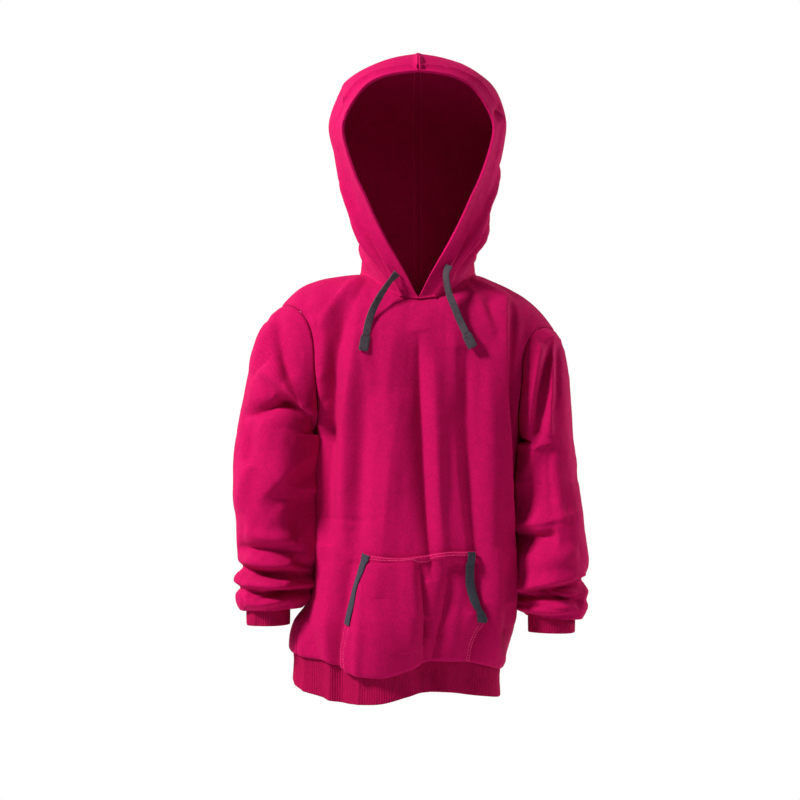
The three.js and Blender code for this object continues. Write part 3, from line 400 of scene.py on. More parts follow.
@dataclass(frozen=True)
class Knit:
    """A dyed knitted cloth: its yarn's two shades, its loops and its nap; the shades mix random mottle with
    painted shade and painted highlight on the loops and fibres.
    """

    name: str
    deep: str  # the darker end: the yarn's darker random mottle, and painted shade in the hollows of its loops and nap
    bright: str  # the lighter end: the yarn's lighter random mottle, and painted highlight where its loops and nap stand up
    sheen: float
    sheen_colour: str
    wale: float  # millimetres from one column of loops to the next, drawn coarse enough to show
    course: float  # millimetres from one row of loops to the next
    loops: float  # height of the loops, in millimetres
    nap: float  # height of the brushed fibres, in millimetres
    roughness: float = 0.92
    gloss: float = 0.08
    contrast: float = 0.18  # how far from the middle of the pattern each shade is reached

    def build(self) -> bpy.types.Material:
        """Makes the material.

        Returns:
            A material of fine loops on the piece's own UV map, under a short uneven nap.
        """
        material = bpy.data.materials.new(self.name)
        material.use_nodes = True
        tree = material.node_tree
        tree.nodes.clear()
        uv = add_node(tree, "ShaderNodeUVMap").outputs["UV"]
        place = add_node(tree, "ShaderNodeTexCoord").outputs["Object"]
        turns = 2 * math.pi
        parts = add_node(tree, "ShaderNodeSeparateXYZ", Vector=uv)
        column = self.wave(tree, parts.outputs["X"], turns / (self.wale * MM))
        row = self.wave(tree, parts.outputs["Y"], turns / (self.course * MM))
        stitch = add_node(tree, "ShaderNodeMath", {"operation": "MULTIPLY"}, i0=column, i1=row).outputs[0]
        grains = ((480.0, 4.0, 0.75), (90.0, 4.0, 0.65), (14.0, 2.0, 0.5))  # scale, detail, roughness
        fibres, mottle, blotch = (
            add_node(
                tree, "ShaderNodeTexNoise", Vector=place, Scale=scale, Detail=detail, Roughness=rough
            ).outputs["Fac"]
            for scale, detail, rough in grains
        )
        # fibres and stitch also raise the bumps below, so the colour is darker in their hollows and lighter
        # on their tops: painted shade and painted highlight, over the random tone of mottle and blotch
        patterns = ((fibres, 0.55), (mottle, 0.16), (blotch, 0.08), (stitch, 0.08))
        shade: Any = 0.0
        for pattern, share in patterns:
            shade = add_node(
                tree, "ShaderNodeMath", {"operation": "MULTIPLY_ADD"}, i0=pattern, i1=share, i2=shade
            ).outputs[0]
        middle = 0.5 * sum(share for _, share in patterns)
        ramp = add_node(tree, "ShaderNodeValToRGB", Fac=shade)
        ends = ((-self.contrast, self.deep), (self.contrast, self.bright))
        for element, (off, colour) in zip(ramp.color_ramp.elements, ends):
            element.position = middle + off
            element.color = linear(colour)
        loops = add_node(
            tree, "ShaderNodeBump", Strength=1.0, Distance=self.loops * MM, Height=stitch
        ).outputs["Normal"]
        nap = add_node(
            tree, "ShaderNodeBump", Strength=0.8, Distance=self.nap * MM, Height=fibres, Normal=loops
        ).outputs["Normal"]
        shader = add_node(
            tree,
            "ShaderNodeBsdfPrincipled",
            Base_Color=ramp.outputs["Color"],
            Roughness=self.roughness,
            Normal=nap,
        )
        shader.inputs["Specular IOR Level"].default_value = self.gloss
        shader.inputs["Sheen Weight"].default_value = self.sheen
        shader.inputs["Sheen Roughness"].default_value = 0.45
        shader.inputs["Sheen Tint"].default_value = linear(self.sheen_colour)
        add_node(tree, "ShaderNodeOutputMaterial", Surface=shader.outputs["BSDF"])
        return material

    @staticmethod
    def wave(tree: bpy.types.NodeTree, along: bpy.types.NodeSocket, turns: float) -> bpy.types.NodeSocket:
        """Returns a wave from 0 to 1 along a coordinate, with a number of radians to the metre."""
        turned = add_node(tree, "ShaderNodeMath", {"operation": "MULTIPLY"}, i0=along, i1=turns).outputs[0]
        wave = add_node(tree, "ShaderNodeMath", {"operation": "SINE"}, i0=turned).outputs[0]
        return add_node(
            tree, "ShaderNodeMath", {"operation": "MULTIPLY_ADD"}, i0=wave, i1=0.5, i2=0.5
        ).outputs[0]


# In each finish below, the first colour carries painted shade and the second painted highlight, mixed with
# the yarn's random tone
# Brushed-back sweatshirt fleece, dyed crimson: matt, with a short soft nap that lights up at grazing angles
FLEECE = Knit("brushed_fleece", "#8a033b", "#c2075a", 0.10, "#ff3c80", 1.6, 1.3, 0.05, 0.18)
# Rib knit in the same yarn: a little darker, with plain loops and little nap
RIB_KNIT = Knit("rib_knit", "#7c0332", "#b4074c", 0.08, "#ff3c80", 1.5, 1.5, 0.22, 0.08)
# Dark grey cotton jersey, folded round the pocket's openings
BINDING_TAPE = Knit("jersey_binding", "#292932", "#454551", 0.15, "#b9b9cc", 1.2, 1.2, 0.16, 0.05)
# Flat woven cotton drawcord, dark grey with paler flecks
CORD_TAPE = Knit("woven_drawcord", "#221e24", "#5c545b", 0.12, "#cfc6d2", 1.9, 1.3, 0.5, 0.08)
# Polyester sewing thread dyed to match the cloth, with a slight gloss that picks the stitches out
THREAD = Knit("sewing_thread", "#c01c5c", "#f0508e", 0.1, "#ff7aa8", 0.6, 0.6, 0.05, 0.02, 0.6, 0.3)
# The same thread in dark grey, for the cords' ends
DARK_THREAD = Knit("dark_sewing_thread", "#24222a", "#4a4751", 0.1, "#a8a4b4", 0.6, 0.6, 0.05, 0.02, 0.6, 0.3)


@dataclass(frozen=True)
class Paper:
    """Matt white paint of a studio's floor."""

    name: str = "studio_white"
    colour: str = "#f4f4f4"

    def build(self) -> bpy.types.Material:
        """Returns the material."""
        material = bpy.data.materials.new(self.name)
        material.use_nodes = True
        shader = material.node_tree.nodes["Principled BSDF"]
        shader.inputs["Base Color"].default_value = linear(self.colour)
        shader.inputs["Roughness"].default_value = 0.9
        return material


class Finishes:
    """The finishes, each made once."""

    def __init__(self) -> None:
        """Makes every material."""
        self.fleece = FLEECE.build()
        self.rib = RIB_KNIT.build()
        self.binding = BINDING_TAPE.build()
        self.cord = CORD_TAPE.build()
        self.thread = THREAD.build()
        self.dark_thread = DARK_THREAD.build()
        self.paper = Paper().build()


def finish_piece(
    piece: bpy.types.Object, material: bpy.types.Material, nodes: Sequence[str] = ()
) -> bpy.types.Object:
    """Dresses a piece and ties it to the part.

    Args:
        piece: The piece.
        material: Its finish.
        nodes: The solids that it stands for.

    Returns:
        The piece.
    """
    piece.data.materials.clear()
    piece.data.materials.append(material)
    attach(piece, "root")
    if nodes:
        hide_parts(*nodes)
    LOG.info("%s: %d faces", piece.name, len(piece.data.polygons))
    return piece


# Stitches


@dataclass
class Seamstress:
    """Lays lines of stitches, each a small rounded dash of thread half sunk in the cloth."""

    length: float = 2.7  # of one stitch
    gap: float = 0.6  # between stitches
    thread: float = 0.7  # the thread's thickness
    sink: float = 0.12  # how far the thread's middle lies above the cloth
    places: list[np.ndarray] = field(default_factory=list)

    def line(self, points: np.ndarray, normals: np.ndarray) -> None:
        """Lays stitches along a line on the cloth.

        Args:
            points: The line's points, in millimetres.
            normals: The cloth's outward normals there.
        """
        reach = reach_along(points)
        count = int(reach[-1] / (self.length + self.gap))
        middle = (np.arange(count) + 0.5) * reach[-1] / max(count, 1)
        before = read_line(points, reach, middle - self.length / 2)
        after = read_line(points, reach, middle + self.length / 2)
        along = unit(after - before)
        out = unit(read_line(normals, reach, middle))
        across = unit(np.cross(out, along))
        centre = read_line(points, reach, middle) + out * self.sink
        self.places.append(np.stack([along, across, np.cross(along, across), centre], axis=1))

    def sew(self, name: str) -> bpy.types.Object:
        """Makes one piece of all the lines laid so far.

        Args:
            name: The piece's name.

        Returns:
            The joined stitches.
        """
        deselect_all()
        bpy.ops.mesh.primitive_uv_sphere_add(segments=6, ring_count=5, radius=0.5)
        model = bpy.context.object
        corners = np.array([v.co for v in model.data.vertices])[:, [2, 0, 1]]
        faces = [tuple(f.vertices) for f in model.data.polygons]
        bpy.data.objects.remove(model)
        corners = np.sign(corners) * np.abs(corners * 2) ** 0.8 / 2
        corners *= np.array([self.length, self.thread, self.thread])
        frames = np.concatenate(self.places)
        points = np.einsum("vk,skx->svx", corners, frames[:, :3]) + frames[:, None, 3]
        count, size = points.shape[:2]
        all_faces = [tuple(v + s * size for v in face) for s in range(count) for face in faces]
        mesh = bpy.data.meshes.new(name)
        mesh.from_pydata((points.reshape(-1, 3) * MM).tolist(), [], all_faces)
        mesh.uv_layers.new(name="UVMap")
        piece = bpy.data.objects.new(name, mesh)
        bpy.context.scene.collection.objects.link(piece)
        smooth(piece)
        self.places = []
        return piece


# The cut of the body


@dataclass(frozen=True)
class Panel:
    """The front or the back panel of the body."""

    sign: int  # -1 in front, 1 behind
    depth: str  # the column of the body's table that holds its depth
    neck_angle: float  # how far down the neckline dips, in degrees round from the level
    shares: tuple[int, int]  # cells across half the neck, and across each shoulder
    folds: tuple[Fold, ...]
    creases: tuple[Fold, ...]
    seed: float


FRONT_FOLDS = (
    Fold((108, -16), (119, -430), 8, 15, 26, 4.5, 1.3),
    Fold((117, -36), (128, -400), 8, -7, 5, 8),
    Fold((122, -24), (123, -214), 2, 5, 5, 6),
    Fold((140, -46), (114, -200), 4, -6, 6, 8),
    Fold((-122, -18), (-127, -410), 2, 6, 12, 10),
    Fold((-88, -20), (-113, -330), 11, -13, 11, 12, 1.7),
    Fold((-74, -60), (-90, -330), 10, 3.5, 7, 9, 1.6),
    Fold((-76, -60), (-86, -310), 6, 4, 12, 12),
    Fold((-62, -130), (-80, -430), 3, -7, 14, 12),
    Fold((-22, -140), (-48, -390), 3, 6, 18, 14, 1.6),
    Fold((0, -66), (17, -370), 3, -11, 12, 9, 1.4),
    Fold((20, -96), (32, -350), 3, 4, 8, 12, 1.6),
    Fold((37, -170), (42, -360), 3, -3, 10, 12, 1.6),
    Fold((44, -170), (66, -370), 4, 3, 9, 12, 1.5),
    Fold((58, -84), (76, -410), 4, -9, 19, 9, 1.5),
    Fold((86, -90), (88, -410), 2, 5, 9, 12),
    Fold((56, -344), (50, -510), 0, -10, 58, 22, 1.6),
    Fold((38, -342), (12, -500), -2, -9, 7, 16, 1.5),
    Fold((-9, -343), (-1, -455), 0, 6, 22, 4, 1.3),
    Fold((-1, -343), (7, -440), 0, -6, 4, 12, 1.5),
    Fold((4, -412), (8, -496), 0, -9, 9, 12, 1.7),
    Fold((-52, -350), (-42, -520), 2, 9, 30, 24),
    Fold((64, -352), (34, -485), 2, 1.5, 9, 9, 1.6),
    Fold((-62, -344), (-76, -510), 2, 4.5, 4, 7, 1.4),
    Fold((84, -400), (62, -486), 2, -5, 9, 10),
)
FRONT_CREASES = (
    Fold((-72, 4), (-120, -60), 5, 4, 5, 8, 1.4),
    Fold((-62, 0), (-98, -84), 5, -3, 5, 6, 1.5),
    Fold((-48, -14), (-66, -110), 4, 2.4, 5, 6, 1.6),
    Fold((60, -8), (92, -70), -3, 3, 5, 5, 1.5),
    Fold((66, 0), (122, -36), -3, 3.4, 6, 5, 1.4),
    Fold((72, 4), (126, -18), -2, -2.4, 5, 4, 1.5),
    Fold((84, -24), (100, -80), 2, -3, 6, 6, 1.5),
    Fold((-134, -293), (-46, -297), 2, -1.6, 2.6, 3.4, 1.5),
    Fold((-84, -345), (-100, -510), 2, -7, 9, 9, 1.6),
    Fold((-106, -350), (-114, -476), 2, 4, 9, 9, 1.6),
    Fold((-140, -412), (-114, -486), 2, -7, 11, 8, 1.6),
    Fold((-152, -420), (-140, -490), 2, 3, 6, 7, 1.5),
    Fold((-30, -60), (-38, -180), 2, 2, 9, 8, 1.8),
    Fold((44, -60), (50, -170), 2, 2, 8, 8, 1.7),
    Fold((94, -330), (102, -480), 4, 5, 9, 8, 1.5),
    Fold((106, -400), (116, -474), 3, -4, 6, 7, 1.5),
    Fold((-150, -74), (-126, -50), 3, 2.6, 4, 5, 1.5),
    Fold((-152, -96), (-118, -74), 3, -2.4, 4, 4, 1.5),
    Fold((-138, -130), (-112, -112), 3, 2.4, 4, 5, 1.5),
    Fold((-132, -160), (-112, -146), 3, -2, 4, 4, 1.5),
)
BACK_FOLDS = (
    Fold((66, -110), (78, -460), 5, 9, 18, 9, 1.6),
    Fold((8, -140), (-6, -450), -5, -8, 14, 16, 1.7),
    Fold((-62, -120), (-84, -460), -6, 9, 9, 20, 1.6),
    Fold((-96, -60), (-112, -330), -4, -5, 12, 12),
)
BACK_CREASES = (
    Fold((84, -90), (92, -380), 4, 3.6, 5, 12, 1.4),
    Fold((44, -160), (52, -440), 4, -3.2, 5, 9, 1.5),
    Fold((20, -60), (28, -300), 3, 2, 8, 8, 1.7),
    Fold((-30, -120), (-36, -430), -3, 3, 9, 6, 1.5),
    Fold((-84, -100), (-96, -420), -4, -3.4, 5, 8, 1.5),
    Fold((-112, -70), (-118, -260), -3, 3.4, 5, 9, 1.5),
    Fold((116, -80), (112, -300), 3, -3, 5, 7, 1.5),
    Fold((60, -20), (98, -130), 5, 2.6, 6, 8, 1.6),
    Fold((-58, -22), (-96, -150), -5, 2.6, 6, 8, 1.6),
    Fold((-40, -330), (60, -342), 3, -2, 4, 8, 1.6),
    Fold((-20, -372), (70, -380), 3, -1.6, 4, 6, 1.6),
)
FRONT = Panel(-1, "front", 42, (56, 46), FRONT_FOLDS, FRONT_CREASES, 3.1)
BACK = Panel(1, "back", 56, (48, 36), BACK_FOLDS, BACK_CREASES, 8.7)


@dataclass(frozen=True)
class BodyCut:
    """The body of the hoodie, worked out from its sides, shoulder line and hem."""

    neck_half: float = 70
    shoulder_tip: float = 171
    underarm_half: float = 128
    underarm_left: float = -192
    underarm_right: float = -202
    shoulder_round: float = 95
    shoulder_seam_y: float = 5
    armhole_wrap: float = 54
    armhole_sweep: float = 2.2
    fullness: float = 0.82
    rim_inward: float = 4.5
    shoulder_line: Table = Table(
        "x z",
        (
            (-176, -41), (-166, -27), (-147, -10), (-126, -1), (-102, 4), (-72, 7), (0, 7),
            (72, 6), (95, -2), (116, -12), (137, -25), (155, -42), (176, -70),
        ),
    )
    sides: Table = Table(
        "z left right front back left_seam right_seam",
        (
            (-200, -128, 128, 86, 78, -90, 90),
            (-232, -129, 126, 87, 79, -89, 90),
            (-270, -129.5, 124.5, 88, 80, -87, 90),
            (-330, -130.5, 124.5, 93, 83, -82, 91),
            (-380, -133, 124.5, 97, 85, -75, 92),
            (-405, -140, 124, 99, 86, -72, 93),
            (-425, -155, 122, 101, 87, -69, 93),
            (-450, -161, 117, 101, 87, -67, 94),
            (-486, -160, 106, 97, 84, -66, 94),
        ),
    )
    hem: Table = Table(
        "angle seam edge",
        (
            (-180, -470, -508), (-135, -464, -502), (-90, -458, -497), (-62, -462, -507),
            (-36, -469, -518), (-24, -480, -520), (-8, -483, -519), (6, -476, -511), (16, -468, -507),
            (30, -467, -507), (50, -471, -513), (75, -479, -518), (110, -480, -517), (145, -475, -512),
            (180, -470, -508),
        ),
    )

    @property
    def neck_share(self) -> float:
        """Returns the share of a panel's half width that the neckline takes."""
        reach = self.shoulder_tip / sine(self.armhole_wrap)
        return float(np.degrees(np.arcsin(self.neck_half / reach)) / self.armhole_wrap)

    def underarm_level(self, x: np.ndarray) -> np.ndarray:
        """Returns the height of the underarm across the body."""
        return mix(self.underarm_left, self.underarm_right, (x / self.underarm_half + 1) / 2)

    def shoulder_point(self, panel: Panel, share: np.ndarray, down: np.ndarray) -> np.ndarray:
        """Works out points above the underarm.

        Args:
            panel: The panel.
            share: -1 at the left edge to 1 at the right edge.
            down: 0 on the shoulder seam and neckline, 1 at the end of the shoulders' rounding, 2 at the
                underarm.

        Returns:
            The points.
        """
        full = self.fullness
        rounding = np.maximum(1 - down, 0)
        below = np.maximum(down - 1, 0) * 90
        edge = np.maximum(cosine(self.armhole_wrap) ** full * cosine(below), 0) ** (1 / full)
        wrap = np.degrees(np.arccos(np.clip(edge, 0, 1)))
        sweep = sine(rounding * 90) ** self.armhole_sweep
        chest = mix(self.underarm_half, self.shoulder_tip, sweep) / sine(self.armhole_wrap)
        widening = smoothstep(1 - sine(below), 0, 1)
        x = mix(self.underarm_half, chest, widening) * sine(wrap * share)
        in_neck = np.minimum(np.abs(share) / self.neck_share, 1)
        top = mix(panel.neck_angle, 90, in_neck**2.4)
        start = self.shoulder_line.read(x, "z") - self.shoulder_round
        height = start + self.shoulder_round * sine(rounding * top)
        full_depth = self.sides.read(self.sides.rows[0][0], panel.depth)
        depth = full_depth * np.maximum(cosine(wrap * share), 0) ** full * cosine(rounding * top)
        z = mix(height, self.underarm_level(x), sine(below))
        return np.stack(np.broadcast_arrays(x, self.shoulder_seam_y + panel.sign * depth, z), axis=-1)

    def section_point(self, z: np.ndarray, angle: np.ndarray) -> np.ndarray:
        """Returns points of the body's level section, at angles round from the middle of the front."""
        left, right = self.sides.read(z, "left"), self.sides.read(z, "right")
        ahead = cosine(angle)
        depth = np.where(ahead > 0, self.sides.read(z, "front"), self.sides.read(z, "back"))
        forward = depth * np.sign(ahead) * np.abs(ahead) ** self.fullness
        x = mix(left, right, (1 + sine(angle)) / 2)
        return np.stack(np.broadcast_arrays(x, self.shoulder_seam_y - forward, z), axis=-1)

    def panel_angle(self, panel: Panel, share: np.ndarray, z: np.ndarray) -> np.ndarray:
        """Returns the angle round from the middle of the front of places between the side seams."""
        left, right = self.sides.read(z, "left_seam"), self.sides.read(z, "right_seam")
        if panel.sign < 0:
            return mix(left, right, (share + 1) / 2)
        return mix(left, right - 360, (share + 1) / 2)

    def plain_point(self, panel: Panel, share: Any, down: Any) -> np.ndarray:
        """Returns points of the body before its folds. Down goes on from 2 to 3 at the hem seam."""
        share, down = np.broadcast_arrays(np.asarray(share, float), np.asarray(down, float))
        upper = self.shoulder_point(panel, share, np.minimum(down, 2))
        start = self.shoulder_point(panel, share, np.full(share.shape, 2.0))[..., 2]
        z = start
        for _ in range(3):
            angle = np.mod(self.panel_angle(panel, share, z) + 180, 360) - 180
            z = mix(start, self.hem.read(angle, "seam"), np.maximum(down - 2, 0))
        lower = self.section_point(z, self.panel_angle(panel, share, z))
        return np.where((down <= 2)[..., None], upper, lower)

    def point(self, panel: Panel, share: Any, down: Any) -> np.ndarray:
        """Returns points of the body with its folds, fine creases and ripple."""
        share, down = np.broadcast_arrays(np.asarray(share, float), np.asarray(down, float))
        plain = self.plain_point(panel, share, down)
        edge = np.minimum((1 - np.abs(share)) * 5, 1)
        top = np.minimum(down * 2, 1)
        step = 0.01
        across = self.plain_point(panel, np.minimum(share + step, 1), down) - self.plain_point(
            panel, np.maximum(share - step, -1), down
        )
        downward = self.plain_point(panel, share, down + step) - self.plain_point(
            panel, share, np.maximum(down - step, 0)
        )
        outward = unit(np.cross(downward, across)) * -panel.sign
        x, z = plain[..., 0], plain[..., 2]
        near = np.minimum((1 - np.abs(share)) * 12, 1) * np.minimum(down * 5, 1)
        lift = fold_lift(panel.folds, x, z) * edge * top
        lift = lift + fold_lift(panel.creases, x, z) * near
        lift = lift + ripple(plain, (26, 26, 110), panel.seed) * 1.3 * near
        lift = lift + ripple(plain, (11, 11, 30), panel.seed + 5) * 0.25 * near
        return plain + outward * lift[..., None]

    def net(self, panel: Panel) -> Net:
        """Returns a panel's fine net of points, its lower edge turned in to the rib."""
        neck, shoulder = panel.shares
        outer = mix(self.neck_share, 1, np.linspace(0, 1, shoulder + 1)[1:])
        inner = np.linspace(-self.neck_share, self.neck_share, 2 * neck + 1)
        share = np.concatenate([-outer[::-1], inner, outer])
        if panel.sign > 0:
            share = share[::-1]
        down = np.concatenate([DOWN_ABOVE, 2 + np.linspace(0, 1, SIDE_CELLS + 1)[1:]])
        points = self.point(panel, share[None, :], down[:, None])
        outward = unit(Net(points).normals()[-1] * LEVEL)
        turns = [(0.5, -1.4), (1.4, -2.8), (2.8, -3.7), (self.rim_inward, -4.0)]
        rim = [points[-1] - outward * inward + UP * lower for inward, lower in turns]
        return Net(np.concatenate([points, np.array(rim)]))


ROUND_CELLS, ARMHOLE_CELLS, SIDE_CELLS = 36, 30, 100  # rows of a panel's net, from the shoulder down
DOWN_ABOVE = np.concatenate(
    [np.linspace(0, 1, ROUND_CELLS + 1), 1 + np.linspace(0, 1, ARMHOLE_CELLS + 1)[1:]]
)


def seam_dip(
    net: Net,
    depth: float,
    reach: float,
    rows: tuple[bool, bool],
    sides: bool = False,
    flat_below: float | None = None,
) -> Net:
    """Rolls a net's edges in where it is sewn, so that a seam shows as a fine groove.

    Args:
        net: The net.
        depth: How far the very edge goes in, in millimetres.
        reach: How far from the edge the roll begins.
        rows: Whether the upper and the lower edge are sewn.
        sides: Whether both side edges are sewn.
        flat_below: The height under which the upper edge stays flat, because three seams meet there.

    Returns:
        The rolled net.
    """
    p = net.points
    down = np.cumsum(np.linalg.norm(np.diff(p, axis=0, prepend=p[:1]), axis=2), axis=0)
    across = np.cumsum(np.linalg.norm(np.diff(p, axis=1, prepend=p[:, :1]), axis=2), axis=1)
    far = np.full(p.shape[:2], 1e3)
    if rows[0]:
        far = np.minimum(far, down)
    if rows[1]:
        far = np.minimum(far, down[-1:] - down)
    if sides:
        far = np.minimum(far, np.minimum(across, across[:, -1:] - across))
    dip = np.maximum(1 - far / reach, 0) ** 2
    if flat_below is not None:
        dip *= np.maximum(smoothstep(p[:1, :, 2], flat_below, flat_below + 14), smoothstep(down, 4, 14))
    return net.moved(-depth * dip)


@dataclass
class Body:
    """The front and back panels."""

    cut: BodyCut
    cloth: float = 1.9
    area: float = 0.19
    panels: tuple[tuple[str, Panel, tuple[float, float]], ...] = (
        ("front_panel", FRONT, (0.47, 0.53)),
        ("back_panel", BACK, (0.46, 0.53)),
    )

    def build(self, finishes: Finishes) -> dict[str, Net]:
        """Makes both panels.

        Args:
            finishes: The materials.

        Returns:
            Each panel's net by its name.
        """
        nets = {}
        corner = self.cut.underarm_left + FLAT_CORNER
        for name, panel, flat in self.panels:
            net = seam_dip(self.cut.net(panel), SEAM_DIP, SEAM_ROLL, (True, False), True, corner)
            nets[name] = net
            piece = cloth_from(f"{name}_cloth", net)
            thicken(piece, self.cloth)
            smooth(piece)
            finish_piece(piece, finishes.fleece, [name])
        return nets


# The sleeves


@dataclass(frozen=True)
class SleeveCut:
    """One sleeve: its sections from the armhole to the cuff, and its folds."""

    side: Side
    sections: tuple[tuple[float, ...], ...]  # outer, outer_z, inner, inner_z, y, deep
    folds: tuple[Fold, ...]  # on the half that faces the front, placed as seen from there
    back_folds: tuple[Fold, ...]  # on the other half
    seed: float
    shape_rows: int = 5  # sections over which the armhole's shape passes into the sections' own
    long_sections: int = 8  # sections above the bunched cloth
    rings_a_section: tuple[int, int] = (14, 5)  # in each long section, and in each one below
    first_rings: int = 5  # from the armhole to the first section
    clear: float = 0.9  # millimetres between the sleeve and the body where they lie together
    press: float = 14.0  # a gap narrower than this is closed to that, and a wider one less and less
    behind: tuple[float, float] = (40, 60)  # how far back that fades out
    stations: tuple[int, int] = (6, 5)  # the solids' cells from the shoulder to the chest and to the underarm

    def turn_of(self, down: np.ndarray) -> np.ndarray:
        """Returns the degrees round the sleeve, from its outer side, of places down the armhole."""
        first, second = self.stations
        station = np.where(down <= 1, down * first, first + (down - 1) * second)
        return station * 180 / (first + second)

    def lift(self, x: np.ndarray, z: np.ndarray, facing: np.ndarray) -> np.ndarray:
        """Returns what the folds lift at places of the front view, by how far each faces the front."""
        ahead, behind = smoothstep(facing, -0.15, 0.35), smoothstep(-facing, -0.15, 0.35)
        return fold_lift(self.folds, x, z) * ahead + fold_lift(self.back_folds, x, z) * behind

    def nestled(self, net: Net, body: BodyCut) -> Net:
        """Lays the sleeve's inner side against the body's, below the armhole."""
        sign = self.side.value
        x, y, z = (net.points[..., k] for k in range(3))
        edge = body.sides.read(z, self.side.word)
        other = body.sides.read(z, "left" if sign > 0 else "right")
        in_front = y < body.shoulder_seam_y
        depth = np.where(in_front, body.sides.read(z, "front"), body.sides.read(z, "back"))
        ahead = np.clip(np.abs(y - body.shoulder_seam_y) / depth, 0, 1) ** (1 / body.fullness)
        across = np.sqrt(1 - ahead**2)
        side = mix((edge + other) / 2, edge, across)
        gap = (x - side) * sign
        far = (self.press - self.clear) * np.exp((self.press - gap) / self.press)
        shift = np.where(gap > self.press, far, gap - self.clear)
        underarm = float(body.underarm_level(np.array(sign * body.underarm_half)))
        below = 1 - smoothstep(z, underarm - 3, underarm + 1)
        points = net.points.copy()
        points[..., 0] -= sign * np.maximum(shift, 0) * below * (1 - smoothstep(y, *self.behind))
        return Net(points, net.closed)

    def places(self) -> np.ndarray:
        """Returns the rings' places on the table of sections, from the first section to the last."""
        many, few = self.rings_a_section
        bend, end = 1 + self.long_sections, len(self.sections)
        upper = np.linspace(1, bend, (bend - 1) * many + 1)
        lower = np.linspace(bend, end, (end - bend) * few + 1)
        return np.concatenate([upper, lower[1:]])

    def ring(self, k: float, table: Table, hole: Sequence[np.ndarray], angle: np.ndarray) -> np.ndarray:
        """Works out one ring of the sleeve's net, with its folds.

        Args:
            k: The ring's place on the table of sections.
            table: The sections.
            hole: The armhole's distances from its middle: to its tip, forward and out of it.
            angle: Degrees round the sleeve, from its outer side.

        Returns:
            The ring's points.
        """
        sign = self.side.value
        outer, outer_z, inner, inner_z, y, deep = (
            float(table.read(k, name)) for name in ("outer", "outer_z", "inner", "inner_z", "y", "deep")
        )
        out = np.array([sign * (outer - inner), 0, outer_z - inner_z])
        centre = np.array([sign * (outer + inner) / 2, y, (outer_z + inner_z) / 2])
        wide = float(np.linalg.norm(out)) / 2
        out = unit(out)
        change = float(smoothstep(k, 0, self.shape_rows))
        along = mix(hole[0], wide * cosine(angle), change)
        forward = mix(hole[1], deep * sine(angle), change)
        beyond = mix(hole[2], 0, change)
        through = np.cross(out, FORWARD)
        radial = cosine(angle)[:, None] * out + sine(angle)[:, None] * FORWARD
        ring = centre + along[:, None] * out + forward[:, None] * FORWARD + beyond[:, None] * through
        lift = self.lift(ring[:, 0], ring[:, 2], sine(angle))
        return ring + radial * lift[:, None]

    def net(self, body: BodyCut) -> Net:
        """Works out the sleeve's net of closed rings.

        Args:
            body: The body that it is set into.

        Returns:
            The net.
        """
        sign = self.side.value
        down = DOWN_ABOVE
        front, back = body.point(FRONT, sign, down), body.point(BACK, sign, down)
        loop = np.concatenate([front, back[1:-1][::-1]])
        turn = self.turn_of(down)
        angle = np.concatenate([turn, 360 - turn[1:-1][::-1]])
        tip, underarm = loop[0], loop[len(down) - 1]
        middle = (tip + underarm) / 2
        hole_out = unit(tip - underarm)
        local = loop - middle
        hole = [local @ way for way in (hole_out, FORWARD, np.cross(hole_out, FORWARD))]
        numbered = tuple((k + 1, *row) for k, row in enumerate(self.sections))
        table = Table("k outer outer_z inner inner_z y deep", numbered)
        rings = [self.ring(k, table, hole, angle) for k in self.places()]
        first = [mix(loop, rings[0], t) for t in np.linspace(0, 1, self.first_rings + 1)[:-1]]
        points = np.array([*first, *rings])
        row = np.arange(len(points))
        fade = smoothstep(row, 0, 8) * smoothstep(len(points) - row, 6, 20)
        if sign > 0:
            points = np.concatenate([points[:, :1], points[:, 1:][:, ::-1]], axis=1)
        net = Net(points, closed=True)
        wobble = ripple(points, (24, 24, 40), self.seed) * 1.3
        wobble = wobble + ripple(points, (10, 10, 16), self.seed + 4) * 0.3
        return self.nestled(net.moved(wobble * fade[:, None]), body)


